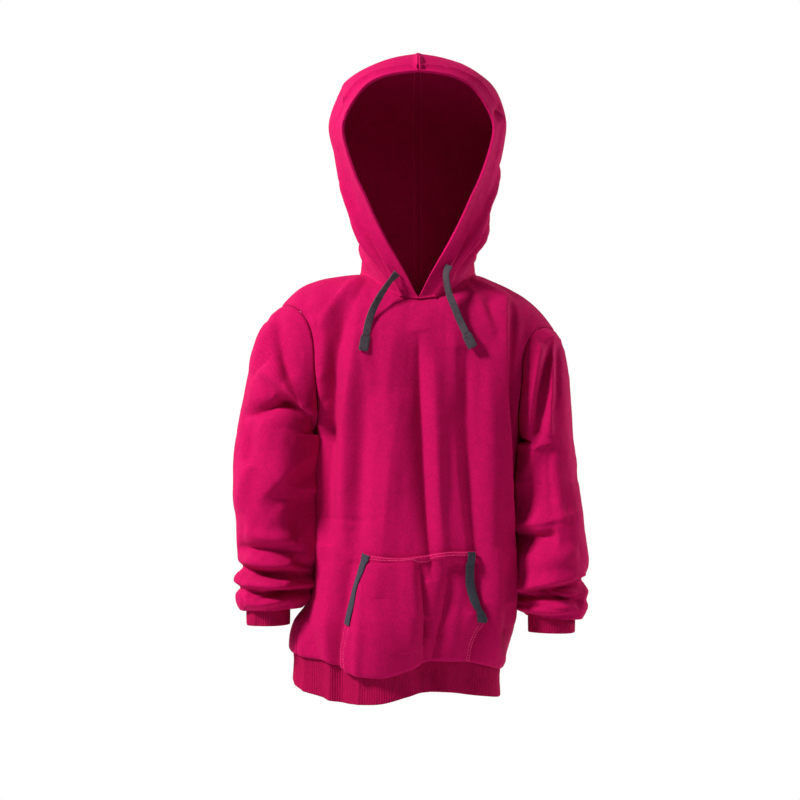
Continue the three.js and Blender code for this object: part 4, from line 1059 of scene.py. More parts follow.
LEFT_SLEEVE = SleeveCut(
    Side.LEFT,
    (
        (183, -48, 133, -194, 4, 56), (194, -74, 136, -200, 4, 58), (205, -108, 136, -210, 3, 58),
        (216, -146, 135.5, -227, 1, 56), (226, -186, 135, -248, -2, 54), (230, -226, 134, -272, -5, 53),
        (230, -266, 134, -300, -9, 52), (227, -304, 135, -326, -12, 50), (225, -336, 136, -347, -15, 47),
        (224, -349, 137, -358, -16, 46), (218, -357, 141, -365, -17, 41), (227, -366, 138, -373, -18, 45),
        (229, -375, 138, -380, -19, 46), (221, -382, 143, -386, -20, 41), (227, -390, 143, -392, -21, 43),
        (226, -400, 147, -399, -22, 42), (222, -408, 153, -406, -23, 38), (220, -410, 156, -408, -23, 35),
        (217, -408, 159, -406, -23, 32), (215.5, -398, 160.5, -398, -23, 30.5),
    ),
    (
        Fold((-175, -42), (-146, -152), 6, -9, 7, 10, 1.6),
        Fold((-190, -52), (-206, -118), 3, 5.5, 12, 9),
        Fold((-198, -116), (-130, -176), -9, 13.5, 7, 17, 1.5),
        Fold((-220, -168), (-146, -154), -3, -13.5, 11, 6, 1.5),
        Fold((-176, -146), (-118, -180), 0, -13, 8, 6, 1.4),
        Fold((-166, -132), (-122, -166), 0, 6, 6, 10, 1.5),
        Fold((-203, -170), (-208, -232), 2, -4.5, 10, 12),
        Fold((-162, -186), (-168, -270), 4, 7, 16, 22),
        Fold((-132, -206), (-198, -278), 2, 4.2, 22, 6, 1.4),
        Fold((-128, -232), (-186, -292), 2, -3, 10, 8, 1.6),
        Fold((-222, -290), (-206, -226), -3, 4, 9, 10),
        Fold((-140, -262), (-152, -322), 3, -7, 12, 12),
        Fold((-214, -312), (-150, -318), 5, 5.5, 9, 9),
        Fold((-224, -331), (-144, -338), -2, -11, 9, 5, 1.5),
        Fold((-216, -346), (-150, -352), 5, 5.5, 7, 7),
        Fold((-218, -361), (-138, -368), -2, -12, 8, 5, 1.5),
        Fold((-218, -376), (-156, -378), 2, 6, 5, 6),
        Fold((-210, -388), (-138, -388), -2, -11, 7, 4, 1.5),
        Fold((-214, -398), (-160, -396), 4, 5.5, 6, 6),
        Fold((-214, -409), (-158, -400), 2, -7, 5, 4, 1.5),
        Fold((-154, -346), (-126, -364), 0, -8, 5, 5, 1.3),
        Fold((-206, -365), (-164, -373), -3, -6, 3.5, 3, 1.4),
        Fold((-188, -372), (-150, -371), 1, 4, 3, 3, 1.4),
        Fold((-200, -397), (-134, -387), -5, -6.5, 3.5, 3.5, 1.4),
        Fold((-198, -385), (-152, -383), -3, 4, 3, 3, 1.4),
    ),
    (
        Fold((-190, -60), (-176, -150), 6, 8, 10, 14),
        Fold((-216, -150), (-146, -182), 7, 11, 8, 14, 1.6),
        Fold((-214, -184), (-150, -206), -4, -9.5, 8, 9, 1.6),
        Fold((-150, -226), (-204, -290), 5, 7, 8, 16, 1.5),
        Fold((-216, -330), (-150, -326), 4, -8, 6, 8, 1.5),
        Fold((-212, -352), (-148, -350), -4, 5.5, 8, 7),
        Fold((-216, -372), (-146, -366), 3, -9.5, 6, 7, 1.5),
        Fold((-208, -394), (-148, -390), 3, -7, 5, 6, 1.5),
    ),
    1.7,
)
RIGHT_SLEEVE = SleeveCut(
    Side.RIGHT,
    (
        (177, -80, 133, -204, 4, 56), (181, -102, 134, -210, 4, 59), (185, -131, 133, -220, 3, 60),
        (190, -166, 132, -237, 1, 60), (195, -204, 130, -258, -2, 59), (199, -244, 129, -283, -5, 58),
        (204, -284, 128.5, -310, -9, 56), (209, -322, 128.5, -341, -12, 54),
        (212, -350, 128.5, -367, -15, 52), (209, -364, 129, -382, -17, 49),
        (201, -369, 133, -389, -18, 42), (206, -377, 131, -394, -19, 44), (212, -387, 129, -400, -20, 47),
        (209, -397, 133, -404, -21, 43), (211, -406, 134, -409, -22, 42), (206, -418, 140, -414, -23, 38),
        (203, -421, 142, -417, -23, 35), (199, -418, 144, -415, -23, 32),
        (197.5, -408, 142.5, -407, -23, 30.5),
    ),
    (
        Fold((151, -80), (135, -200), 1, 11, 12, 8, 1.7),
        Fold((167, -74), (146, -206), 7, -11, 4, 8, 1.5),
        Fold((168, -68), (162, -194), 1, 7.5, 6, 4, 1.4),
        Fold((173, -76), (170, -160), 0, -6, 4, 6, 1.5),
        Fold((179, -84), (176, -176), 2, 4.5, 8, 10),
        Fold((147, -192), (121, -280), -3, 9, 8, 9, 1.6),
        Fold((130, -196), (128, -250), 1, -11, 7, 7),
        Fold((172, -150), (186, -290), 3, -4.5, 14, 14),
        Fold((160, -206), (166, -306), 4, -9, 28, 10),
        Fold((108, -303), (184, -293), 3, 7, 5, 15, 1.4),
        Fold((110, -322), (170, -315), 2, -12, 12, 7, 1.6),
        Fold((196, -250), (203, -350), 4, 4, 10, 9),
        Fold((132, -342), (196, -336), 5, 7, 14, 12),
        Fold((116, -387), (206, -366), 0, 10.5, 4, 15, 1.4),
        Fold((140, -386), (206, -379), -2, -12.5, 7, 4, 1.5),
        Fold((124, -396), (204, -397), -4, -14, 7, 4, 1.5),
        Fold((132, -406), (198, -404), 4, 5.5, 6, 6),
        Fold((138, -414), (200, -412), 2, -7, 5, 4, 1.5),
        Fold((146, -381), (208, -386), 9, -6.5, 3.5, 3.5, 1.4),
        Fold((140, -399), (202, -402), 7, -6, 3.5, 3.5, 1.4),
        Fold((158, -391), (198, -394), 4, 4, 3, 3, 1.4),
    ),
    (
        Fold((166, -84), (158, -190), 5, 9.5, 9, 12),
        Fold((186, -150), (140, -206), 5, -8, 10, 10, 1.6),
        Fold((198, -220), (134, -260), 6, 9.5, 8, 16, 1.5),
        Fold((128, -306), (196, -318), 4, -8, 8, 9, 1.6),
        Fold((140, -344), (200, -352), 4, 7, 12, 8),
        Fold((130, -374), (204, -376), 4, -9.5, 5, 7, 1.5),
        Fold((134, -398), (200, -392), -3, -8, 5, 6, 1.5),
    ),
    6.3,
)


CELLS_A_RIB = 4


def rib_ridges(ribs: int, height: float) -> np.ndarray:
    """Returns how far the knit's ridges stand out, at each point round a rib band."""
    return height * (0.5 - 0.5 * np.cos(2 * math.pi * np.arange(ribs * CELLS_A_RIB) / CELLS_A_RIB))


@dataclass
class Cuff:
    """A rib cuff, hung inside the sleeve's turned-in lower edge."""

    height: float = 48
    hidden: float = 18  # of that height, inside the sleeve
    tucked: float = 1.6  # how far its upper edge lies above the sleeve's turned-in edge
    drawn_in: tuple[float, float] = (1.8, 3.2)  # how far inside that edge it lies, above and below
    cloth: float = 1.9
    ridge: float = 0.75
    ribs: int = 56
    rows: int = 22
    flat: tuple[float, float] = (0.17, 0.05)
    fill: float = 0.7  # the share of the flat rectangle that it covers

    def build(self, side: Side, sleeve: Net, finishes: Finishes) -> None:
        """Makes the cuff of one sleeve."""
        ring = sleeve.points[-1]
        centre = ring.mean(axis=0)
        base = even_ring(ring, self.ribs * CELLS_A_RIB)
        way = unit((base - centre) * LEVEL)
        ridges = rib_ridges(self.ribs, self.ridge)
        shown = self.height - self.hidden
        rows = []
        for t in np.linspace(0, 1, self.rows):
            inside = mix(*self.drawn_in, float(smoothstep(t, 0, 0.35))) - 0.3 * math.sin(math.pi * t)
            wave = ridges * (1 - 0.6 * (t > 0.96))
            rows.append(base + way * (wave - inside)[:, None] + UP * mix(self.tucked, -shown, t))
        net = Net(np.array(rows), closed=True)
        piece = cloth_from(f"cuff_{side.word}_rib", net)
        thicken(piece, self.cloth)
        smooth(piece)
        finish_piece(piece, finishes.rib, [f"cuff_{side.word}"])


def even_ring(loop: np.ndarray, count: int) -> np.ndarray:
    """Returns places spaced evenly along a closed loop of points."""
    ends = np.vstack([loop, loop[:1]])
    reach = reach_along(ends)
    return read_line(ends, reach, np.arange(count) / count * reach[-1])


@dataclass
class Sleeves:
    """Both sleeves with their cuffs."""

    cuts: tuple[SleeveCut, ...] = (LEFT_SLEEVE, RIGHT_SLEEVE)
    cloth: float = 1.9
    flat: tuple[float, float] = (0.37, 0.36)
    area: float = 0.1

    def build(self, body: BodyCut, finishes: Finishes) -> dict[str, Net]:
        """Makes both sleeves and their cuffs, and returns the sleeves' nets by name."""
        nets = {}
        for cut in self.cuts:
            name = f"sleeve_{cut.side.word}"
            corner = body.underarm_left + FLAT_CORNER
            net = seam_dip(cut.net(body), SEAM_DIP, SEAM_ROLL, (True, False), flat_below=corner)
            nets[name] = net
            piece = cloth_from(f"{name}_cloth", net)
            thicken(piece, self.cloth)
            smooth(piece)
            finish_piece(piece, finishes.fleece, [name])
            Cuff().build(cut.side, net, finishes)
        return nets


# The hood


@dataclass(frozen=True)
class HoodCut:
    """The hood's shape from the neck seam (up 0) to the top (up 1)."""

    shape: Table = Table(
        "up edge_x edge_y edge_z wide seam_y seam_z rise",
        (
            (0, 2.4, -62, -18, 71, 55, -8, 1), (0.08, 18, -69, 12, 71, 58, 14, 1),
            (0.17, 37, -73, 44, 73, 66, 40, 1), (0.25, 51, -73, 71, 78, 77, 66, 1),
            (0.34, 64, -70, 100, 85, 89, 96, 1), (0.42, 75, -65, 124, 93, 99, 124, 1.1),
            (0.53, 87, -59, 160, 104, 108, 166, 1.2), (0.61, 91, -58, 183, 109, 109, 194, 1.4),
            (0.67, 87, -60, 199, 107, 104, 216, 1.6), (0.74, 76, -66, 218, 98, 90, 240, 2),
            (0.81, 62, -74, 233, 82, 68, 259, 2.4), (0.88, 43, -81, 242, 58, 40, 271, 2.8),
            (0.94, 22, -85, 246, 30, 8, 277, 3), (1, 0, -87, 248, 0, -28, 277, 3),
        ),
    )
    hem_share: float = 0.11
    neck_gap: float = 0.1
    back_reach: float = 230  # millimetres from the front edge to the back seam, where folds are placed
    up_reach: float = 320  # millimetres from the neck seam to the top, where folds are placed
    hem_columns: int = 13
    back_columns: int = 88
    rows: int = 124

    def arc(self, up: np.ndarray, share: np.ndarray) -> tuple[np.ndarray, np.ndarray]:
        """Returns points of the right half before its fit to the neckline, and the turn of each."""
        row = {name: self.shape.read(up, name) for name in self.shape.columns.split()[1:]}
        wide = np.maximum(row["wide"], row["edge_x"] + 0.01)
        start = -np.degrees(np.arcsin(np.sqrt(np.maximum(1 - (row["edge_x"] / wide) ** 2, 0))))
        reach = (row["seam_y"] - row["edge_y"]) / (1 - sine(start))
        angle = mix(start, 90, share)
        x = np.maximum(wide * cosine(angle), 0)
        y = row["seam_y"] - reach * (1 - sine(angle))
        z = mix(row["edge_z"], row["seam_z"], 1 - (1 - share) ** row["rise"])
        return np.stack(np.broadcast_arrays(x, y, z), axis=-1), angle

    def shares(self) -> np.ndarray:
        """Returns the shares of the columns, from the front edge to the seam behind."""
        hem = np.linspace(0, self.hem_share, self.hem_columns)
        return np.concatenate([hem, np.linspace(self.hem_share, 1, self.back_columns + 1)[1:]])

    def neckline(self, body: BodyCut, sign: int, share: np.ndarray) -> np.ndarray:
        """Returns the neckline's half from the middle of the front round to the middle of the back."""
        t = np.linspace(0, 1, 61)
        front = body.point(FRONT, sign * t * body.neck_share, 0)
        back = body.point(BACK, sign * (1 - t[1:]) * body.neck_share, 0)
        points = np.concatenate([front, back])
        reach = reach_along(points)
        return read_line(points, reach, share * reach[-1]) + UP * self.neck_gap

    def net(self, side: Side, body: BodyCut, seed: float) -> Net:
        """Works out one half's net, its columns from the front edge back to the seam.

        Args:
            side: The half's side.
            body: The body whose neckline it is sewn to.
            seed: Moves its ripple on.

        Returns:
            The net.
        """
        sign = side.value
        share = self.shares()[None, :]
        up = np.linspace(0, 1, self.rows + 1)[:, None]
        points, angle = self.arc(up, share)
        points = points * np.array([sign, 1, 1])
        base = self.arc(np.zeros((1, 1)), share)[0] * np.array([sign, 1, 1])
        neck = self.neckline(body, sign, share)
        fade = 1 - smoothstep(up, 0, 0.24)
        points = points + (neck - base) * fade[..., None]
        points[-1, :, 0] = 0
        ends = np.minimum(share * 12, 1) * np.minimum((1 - share) * 8, 1)
        rise = np.minimum(up * 17 / 3, 1) * np.minimum((1 - up) * 17 / 3, 1)
        outward = np.stack([sign * cosine(angle), sine(angle), np.zeros_like(angle)], axis=-1)
        back, high = share * self.back_reach, up * self.up_reach
        lift = fold_lift(HOOD_FOLDS[side], back, high) * ends * rise
        near = np.minimum(share * 14, 1) * np.minimum((1 - share) * 14, 1) * np.minimum(up * 14, 1)
        near = near * np.minimum((1 - up) * 14, 1)
        lift = lift + fold_lift(HOOD_CREASES[side], back, high) * near
        wobble = ripple(points, (30, 30, 44), seed) * 1.5 + ripple(points, (11, 11, 14), seed + 3) * 0.3
        lift = lift + wobble * near
        points = points + outward * lift[..., None]
        if sign < 0:
            points = points[:, ::-1]
        return Net(points)


HOOD_FOLDS = {
    Side.LEFT: (
        Fold((30, -8), (30, 210), 0, -6, 10, 3.5, 1.4),
        Fold((44, -6), (52, 170), 4, 5, 8, 7, 1.5),
        Fold((66, -6), (84, 140), 6, -5, 7, 8, 1.5),
        Fold((32, 8), (72, 150), 8, 5, 9, 12),
        Fold((70, 0), (110, 120), 6, -5, 13, 13),
        Fold((6, 214), (70, 250), 3, -6, 14, 12),
        Fold((120, 50), (228, 78), -8, 7, 16, 12),
        Fold((110, 92), (226, 112), -6, -6, 12, 14),
    ),
    Side.RIGHT: (
        Fold((30, -8), (30, 200), 0, -6, 10, 3.5, 1.4),
        Fold((40, -8), (60, 150), 4, 6, 6, 6, 1.5),
        Fold((54, -8), (74, 130), 5, -6, 5, 6, 1.5),
        Fold((68, -8), (96, 120), 5, 6, 6, 7, 1.5),
        Fold((38, 22), (76, 140), 6, 6, 9, 9),
        Fold((66, 6), (96, 110), 6, 5, 9, 10),
        Fold((-8, 204), (38, 224), -3, -7, 6, 6, 1.6),
        Fold((-8, 193), (36, 212), -3, 4, 5, 7, 1.5),
        Fold((120, 46), (228, 70), -8, 7, 14, 14),
        Fold((116, 86), (226, 108), -6, -6, 14, 12),
    ),
}
HOOD_CREASES = {
    Side.LEFT: (
        Fold((28, 14), (52, 130), 5, 4, 4, 6, 1.4),
        Fold((44, 4), (84, 110), 6, -4, 5, 5, 1.5),
        Fold((60, 6), (98, 150), 6, 4, 5, 8, 1.4),
        Fold((90, 8), (150, 90), 8, 4, 6, 6, 1.5),
        Fold((130, 10), (200, 60), 6, -4, 5, 7, 1.5),
        Fold((150, 120), (222, 132), -4, 3, 6, 5, 1.6),
        Fold((20, 236), (90, 262), 4, 3, 6, 6, 1.6),
    ),
    Side.RIGHT: (
        Fold((30, 20), (60, 150), 6, 5, 4, 6, 1.4),
        Fold((52, 10), (80, 120), 5, -5, 4, 5, 1.4),
        Fold((74, 4), (104, 100), 5, 4, 5, 6, 1.4),
        Fold((-4, 212), (34, 226), -3, 3, 3, 6, 1.3),
        Fold((96, 6), (150, 76), 6, 4, 5, 6, 1.5),
        Fold((140, 20), (214, 54), 6, -4, 5, 7, 1.5),
        Fold((146, 126), (222, 136), -4, 3, 6, 5, 1.6),
    ),
}


@dataclass
class Hood:
    """Both halves of the hood."""

    cut: HoodCut = HoodCut()
    cloth: float = 2.0
    turned: float = 3.3  # the wall where the front edge is turned back
    overlap: float = 0.2  # how far each half reaches past the middle at their seam
    seam_allowance: float = 2.4  # cloth below the neck seam, inside the body
    flat: tuple[float, float] = (0.25, 0.36)
    area: float = 0.078

    def build(self, body: BodyCut, finishes: Finishes) -> dict[Side, Net]:
        """Makes both halves, and returns their nets, each from the front edge back or the other way round."""
        nets = {}
        for side, seed in ((Side.LEFT, 2.2), (Side.RIGHT, 7.4)):
            net = self.channel(self.cut.net(side, body, seed), side)
            nets[side] = net
            piece = cloth_from(f"hood_{side.word}_cloth", net)
            thicken(piece, self.turned, self.wall_shares(piece, net, side))
            round_rim(piece, 0.9)
            finish_piece(piece, finishes.fleece, [f"hood_{side.word}"])
        return nets

    def channel(self, net: Net, side: Side) -> Net:
        """Presses the line of stitches that closes the cord's tunnel, and rolls the seams in."""
        share = self.cut.shares()
        if side is Side.LEFT:
            share = share[::-1]
        from_line = (share - self.cut.hem_share * 0.94) * self.cut.back_reach
        press = -1.7 * np.exp(-((from_line / 2.0) ** 2))
        puff = 1.5 * np.exp(-(((share - self.cut.hem_share * 0.45) * self.cut.back_reach / 9) ** 2))
        seam = -1.2 * np.maximum(1 - (1 - share) * self.cut.back_reach / 4, 0) ** 2
        across = np.broadcast_to(press + puff + seam, net.points.shape[:2]).copy()
        up = np.linspace(0, 1, net.points.shape[0])[:, None] * self.cut.up_reach
        across -= 0.8 * np.maximum(1 - up / 3.5, 0) ** 2
        across -= 0.5 * np.maximum(1 - (self.cut.up_reach - up) / 4, 0) ** 2 * (share > self.cut.hem_share)
        points = net.moved(across).points
        middle = 0 if side is Side.LEFT else -1
        points[:, middle, 0] = -side.value * self.overlap
        points[-1, :, 0] = -side.value * self.overlap
        inward = unit(net.normals()[0] * LEVEL) * -1.2
        return Net(np.concatenate([(points[0] + inward - UP * self.seam_allowance)[None], points]))

    def wall_shares(self, piece: bpy.types.Object, net: Net, side: Side) -> np.ndarray:
        """Returns the share of the turned edge's wall at each vertex of a half."""
        share = self.cut.shares()
        if side is Side.LEFT:
            share = share[::-1]
        step = 1 - smoothstep(share, self.cut.hem_share * 0.92, self.cut.hem_share * 1.08)
        weight = mix(self.cloth / self.turned, 1.0, step)
        rows, columns = net.points.shape[:2]
        points = np.array([v.co for v in piece.data.vertices]) / MM
        table = np.broadcast_to(weight[None, :], (rows, columns))
        lookup = {tuple(np.round(p, 3)): w for p, w in zip(net.points.reshape(-1, 3), table.ravel())}
        return np.array([lookup.get(tuple(np.round(p, 3)), 0.6) for p in points])


# The pocket


@dataclass(frozen=True)
class PocketCut:
    """The pouch pocket, laid on the front panel."""

    edges: Table = Table(
        "z left right",
        (
            (-337, -65, 67), (-362, -69, 68), (-385, -77, 71), (-408, -84, 78), (-421, -87, 84),
            (-438, -91, 76), (-455, -95, 70), (-480, -94, 66),
        ),
    )
    opening_end: float = -421
    bottom: float = 0.999
    gap: float = 1.6
    cloth: float = 1.8
    belly: float = 2.4
    top: float = -337
    hem_middle: float = -474
    rows: int = 104
    columns: int = 96
    lines: tuple[float, float] = (2.2, 8.6)  # stitch lines of its hem, from the upper edge
    slant_lines: tuple[float, float] = (2.0, 7.5)  # stitch lines of its lower slants, from their edge
    turned_in: tuple[tuple[float, float], ...] = ((0.4, 1.4), (1.3, 2.7), (2.8, 3.6))  # inward, down

    def heights(self, rows: int) -> np.ndarray:
        """Returns the heights of rows spaced evenly from its upper edge to the hem."""
        return np.linspace(self.top, self.hem_middle, rows)

    def net(self, body: BodyCut) -> Net:
        """Returns the pocket's net, from the front panel's points moved out."""
        underarm = (body.underarm_left + body.underarm_right) / 2
        z = self.heights(self.rows + 1)
        down = np.minimum(2 + (z - underarm) / (self.hem_middle - underarm), 2 + self.bottom)
        share = np.linspace(0, 1, self.columns + 1)
        sampled = np.linspace(-1, 1, 401)
        rows = []
        for height, d in zip(z, down):
            xs = body.plain_point(FRONT, sampled, d)[:, 0]
            ends = (float(self.edges.read(height, edge)) for edge in ("left", "right"))
            left, right = (float(np.interp(end, xs, sampled)) for end in ends)
            rows.append(body.point(FRONT, mix(left, right, share), d))
        net = Net(np.array(rows))
        t = np.linspace(0, 1, self.rows + 1)[:, None]
        swell = self.belly * np.maximum(np.sin(math.pi * share)[None, :] * np.sin(math.pi * t), 0) ** 0.4
        net = net.moved(self.gap + self.cloth + swell + self.hem_relief(net))
        inward = unit(net.normals()[-1] * LEVEL) * -1
        turned = [net.points[-1] + inward * deep - UP * lower for deep, lower in self.turned_in]
        return Net(np.concatenate([net.points, np.array(turned)]))

    def hem_relief(self, net: Net) -> np.ndarray:
        """Returns the doubled upper hem's height, pressed in along its lines of stitches."""
        _, down = net.lengths()
        relief = 0.7 * (1 - smoothstep(down, self.lines[1], self.lines[1] + 2))
        for line in self.lines:
            relief = relief - 0.8 * np.exp(-(((down - line) / 1.3) ** 2))
        return relief[:, None]


@dataclass
class Pocket:
    """The pocket with the bindings of its two openings."""

    cut: PocketCut = PocketCut()
    binding_width: float = 11.5
    binding_wall: float = 1.3
    lip: float = 1.2  # how far a binding reaches round the pocket's edge
    flat: tuple[float, float] = (0.19, 0.15)
    area: float = 0.024
    binding_flat: tuple[float, float] = (0.013, 0.092)

    def build(self, body: BodyCut, finishes: Finishes) -> Net:
        """Makes the pocket and both bindings, and returns the pocket's net."""
        net = self.cut.net(body)
        rolled = seam_dip(net, 1.6, 2.6, (True, True))
        piece = cloth_from("pocket_cloth", rolled)
        thicken(piece, self.cut.cloth)
        round_rim(piece, 0.6)
        finish_piece(piece, finishes.fleece, ["pocket"])
        for side in Side:
            self.bind(side, net, finishes)
        return rolled

    def strip(self, side: Side, pocket: Net) -> Net:
        """Returns a binding's net, over the edge of one opening and a little round it."""
        z = self.cut.heights(self.cut.rows + 1)
        rows = pocket.points[: len(z)][z > self.cut.opening_end - 3]
        edge, inside = (rows[:, 0], rows[:, 4]) if side is Side.LEFT else (rows[:, -1], rows[:, -5])
        way = unit(inside - edge)
        normal = pocket.normals()[: len(rows), 0 if side is Side.LEFT else -1]
        columns = []
        for t in np.linspace(0, 1, 15):
            reach = -self.lip + t * (self.binding_width + self.lip)
            crown = 0.55 * math.sin(math.pi * t) - 1.6 * max(1 - t * 7, 0) ** 2 - 0.5 * max(t * 9 - 8, 0)
            columns.append(edge + way * reach + normal * (0.7 + self.binding_wall + crown))
        if side is Side.RIGHT:
            columns = columns[::-1]
        return Net(np.stack(columns, axis=1))

    def bind(self, side: Side, pocket: Net, finishes: Finishes) -> None:
        """Makes the binding of one opening."""
        piece = cloth_from(f"pocket_binding_{side.word}_tape", self.strip(side, pocket))
        thicken(piece, self.binding_wall)
        round_rim(piece, 0.5)
        finish_piece(piece, finishes.binding, [f"pocket_binding_{side.word}"])


# The hem rib


@dataclass
class HemRib:
    """The rib band round the bottom, hung from the panels' turned-in edges."""

    ribs: int = 236
    ridge: float = 0.8
    cloth: float = 1.9
    tucked: float = 1.8  # how far its upper edge lies above the panels' turned-in edge, inside
    drawn_in: tuple[float, float] = (1.3, 2.2)  # how far inside that edge it lies, above and below
    flare: float = 1.0  # how far its lower half comes out again
    gather: float = 0.5  # height of the gathers at its seam
    rows: int = 26
    evened: int = 12  # points on each side over which the ring's directions are evened
    flat: tuple[float, float] = (0.745, 0.045)

    def outward(self, rim: np.ndarray) -> np.ndarray:
        """Returns the level directions out of the ring, at each of its points."""
        along = unit((np.roll(rim, -1, axis=0) - np.roll(rim, 1, axis=0)) * LEVEL)
        kernel = np.ones(2 * self.evened + 1) / (2 * self.evened + 1)
        padded = np.concatenate([along[-self.evened :], along, along[: self.evened]])
        along = unit(np.stack([np.convolve(padded[:, k], kernel, "valid") for k in range(3)], axis=1))
        return np.stack([along[:, 1], -along[:, 0], np.zeros(len(rim))], axis=1)

    def build(self, cut: BodyCut, panels: dict[str, Net], finishes: Finishes) -> None:
        """Makes the band."""
        front, back = panels["front_panel"].points[-1], panels["back_panel"].points[-1]
        middle = (len(back) - 1) // 2
        loop = np.concatenate([back[middle:], front[1:], back[1:middle]])
        rim = even_ring(loop, self.ribs * CELLS_A_RIB)
        outward = self.outward(rim)
        left, right = cut.sides.read(rim[:, 2], "left"), cut.sides.read(rim[:, 2], "right")
        aside = 2 * (rim[:, 0] - left) / (right - left) - 1
        ahead = (cut.shoulder_seam_y - rim[:, 1]) / cut.sides.rows[-1][3]
        edge = cut.hem.read(np.degrees(np.arctan2(aside, ahead)), "edge")
        turns = np.arange(len(rim))
        wave = rib_ridges(self.ribs, self.ridge)
        gathers = self.gather * np.sin(turns * 0.093 + 0.6 * np.sin(turns * 0.021))
        rows = []
        for t in np.linspace(0, 1, self.rows):
            inside = mix(*self.drawn_in, float(smoothstep(t, 0, 0.35)))
            inside -= self.flare * float(smoothstep(t, 0.4, 1))
            row = rim + outward * (wave + gathers * (1 - t) - inside)[:, None]
            row[:, 2] = mix(rim[:, 2] + self.tucked, edge, t)
            rows.append(row)
        piece = cloth_from("hem_rib_band", Net(np.array(rows), closed=True))
        thicken(piece, self.cloth)
        smooth(piece)
        finish_piece(piece, finishes.rib, ["hem_rib"])


# The drawcords


@dataclass(frozen=True)
class CordRoute:
    """A drawcord's route from its buttonhole, and the turn of its flat side away from the front."""

    side: Side
    places: tuple[tuple[float, float, float, float], ...]  # x, y, z, turn

    def sampled(self, count: int) -> tuple[np.ndarray, np.ndarray]:
        """Returns places evenly along the route's smooth curve, and their turns."""
        data = np.array(self.places)
        table = Table("t x y z turn", tuple((k, *row) for k, row in enumerate(data)))
        t = np.linspace(0, len(data) - 1, 300)
        curve = np.stack([table.read(t, name) for name in ("x", "y", "z", "turn")], axis=1)
        reach = reach_along(curve[:, :3])
        even = read_line(curve, reach, np.linspace(0, reach[-1], count))
        return even[:, :3], even[:, 3]


ROUTES = (
    CordRoute(
        Side.LEFT,
        (
            (-26, -68.3, 5, 18), (-33, -71.5, -3, 48), (-41, -73.5, -14, 42), (-49, -74.5, -27, 28),
            (-56, -75, -41, 15), (-61, -75.8, -56, 8), (-64, -77, -71, 4),
        ),
    ),
    CordRoute(
        Side.RIGHT,
        (
            (37.5, -68.1, 14.5, -8), (34, -70.5, 5, -34), (34.5, -72.5, -7, -38), (38, -73.5, -22, -28),
            (44, -75, -37, -22), (50, -77, -52, -18), (58, -80, -69, -16),
        ),
    ),
)


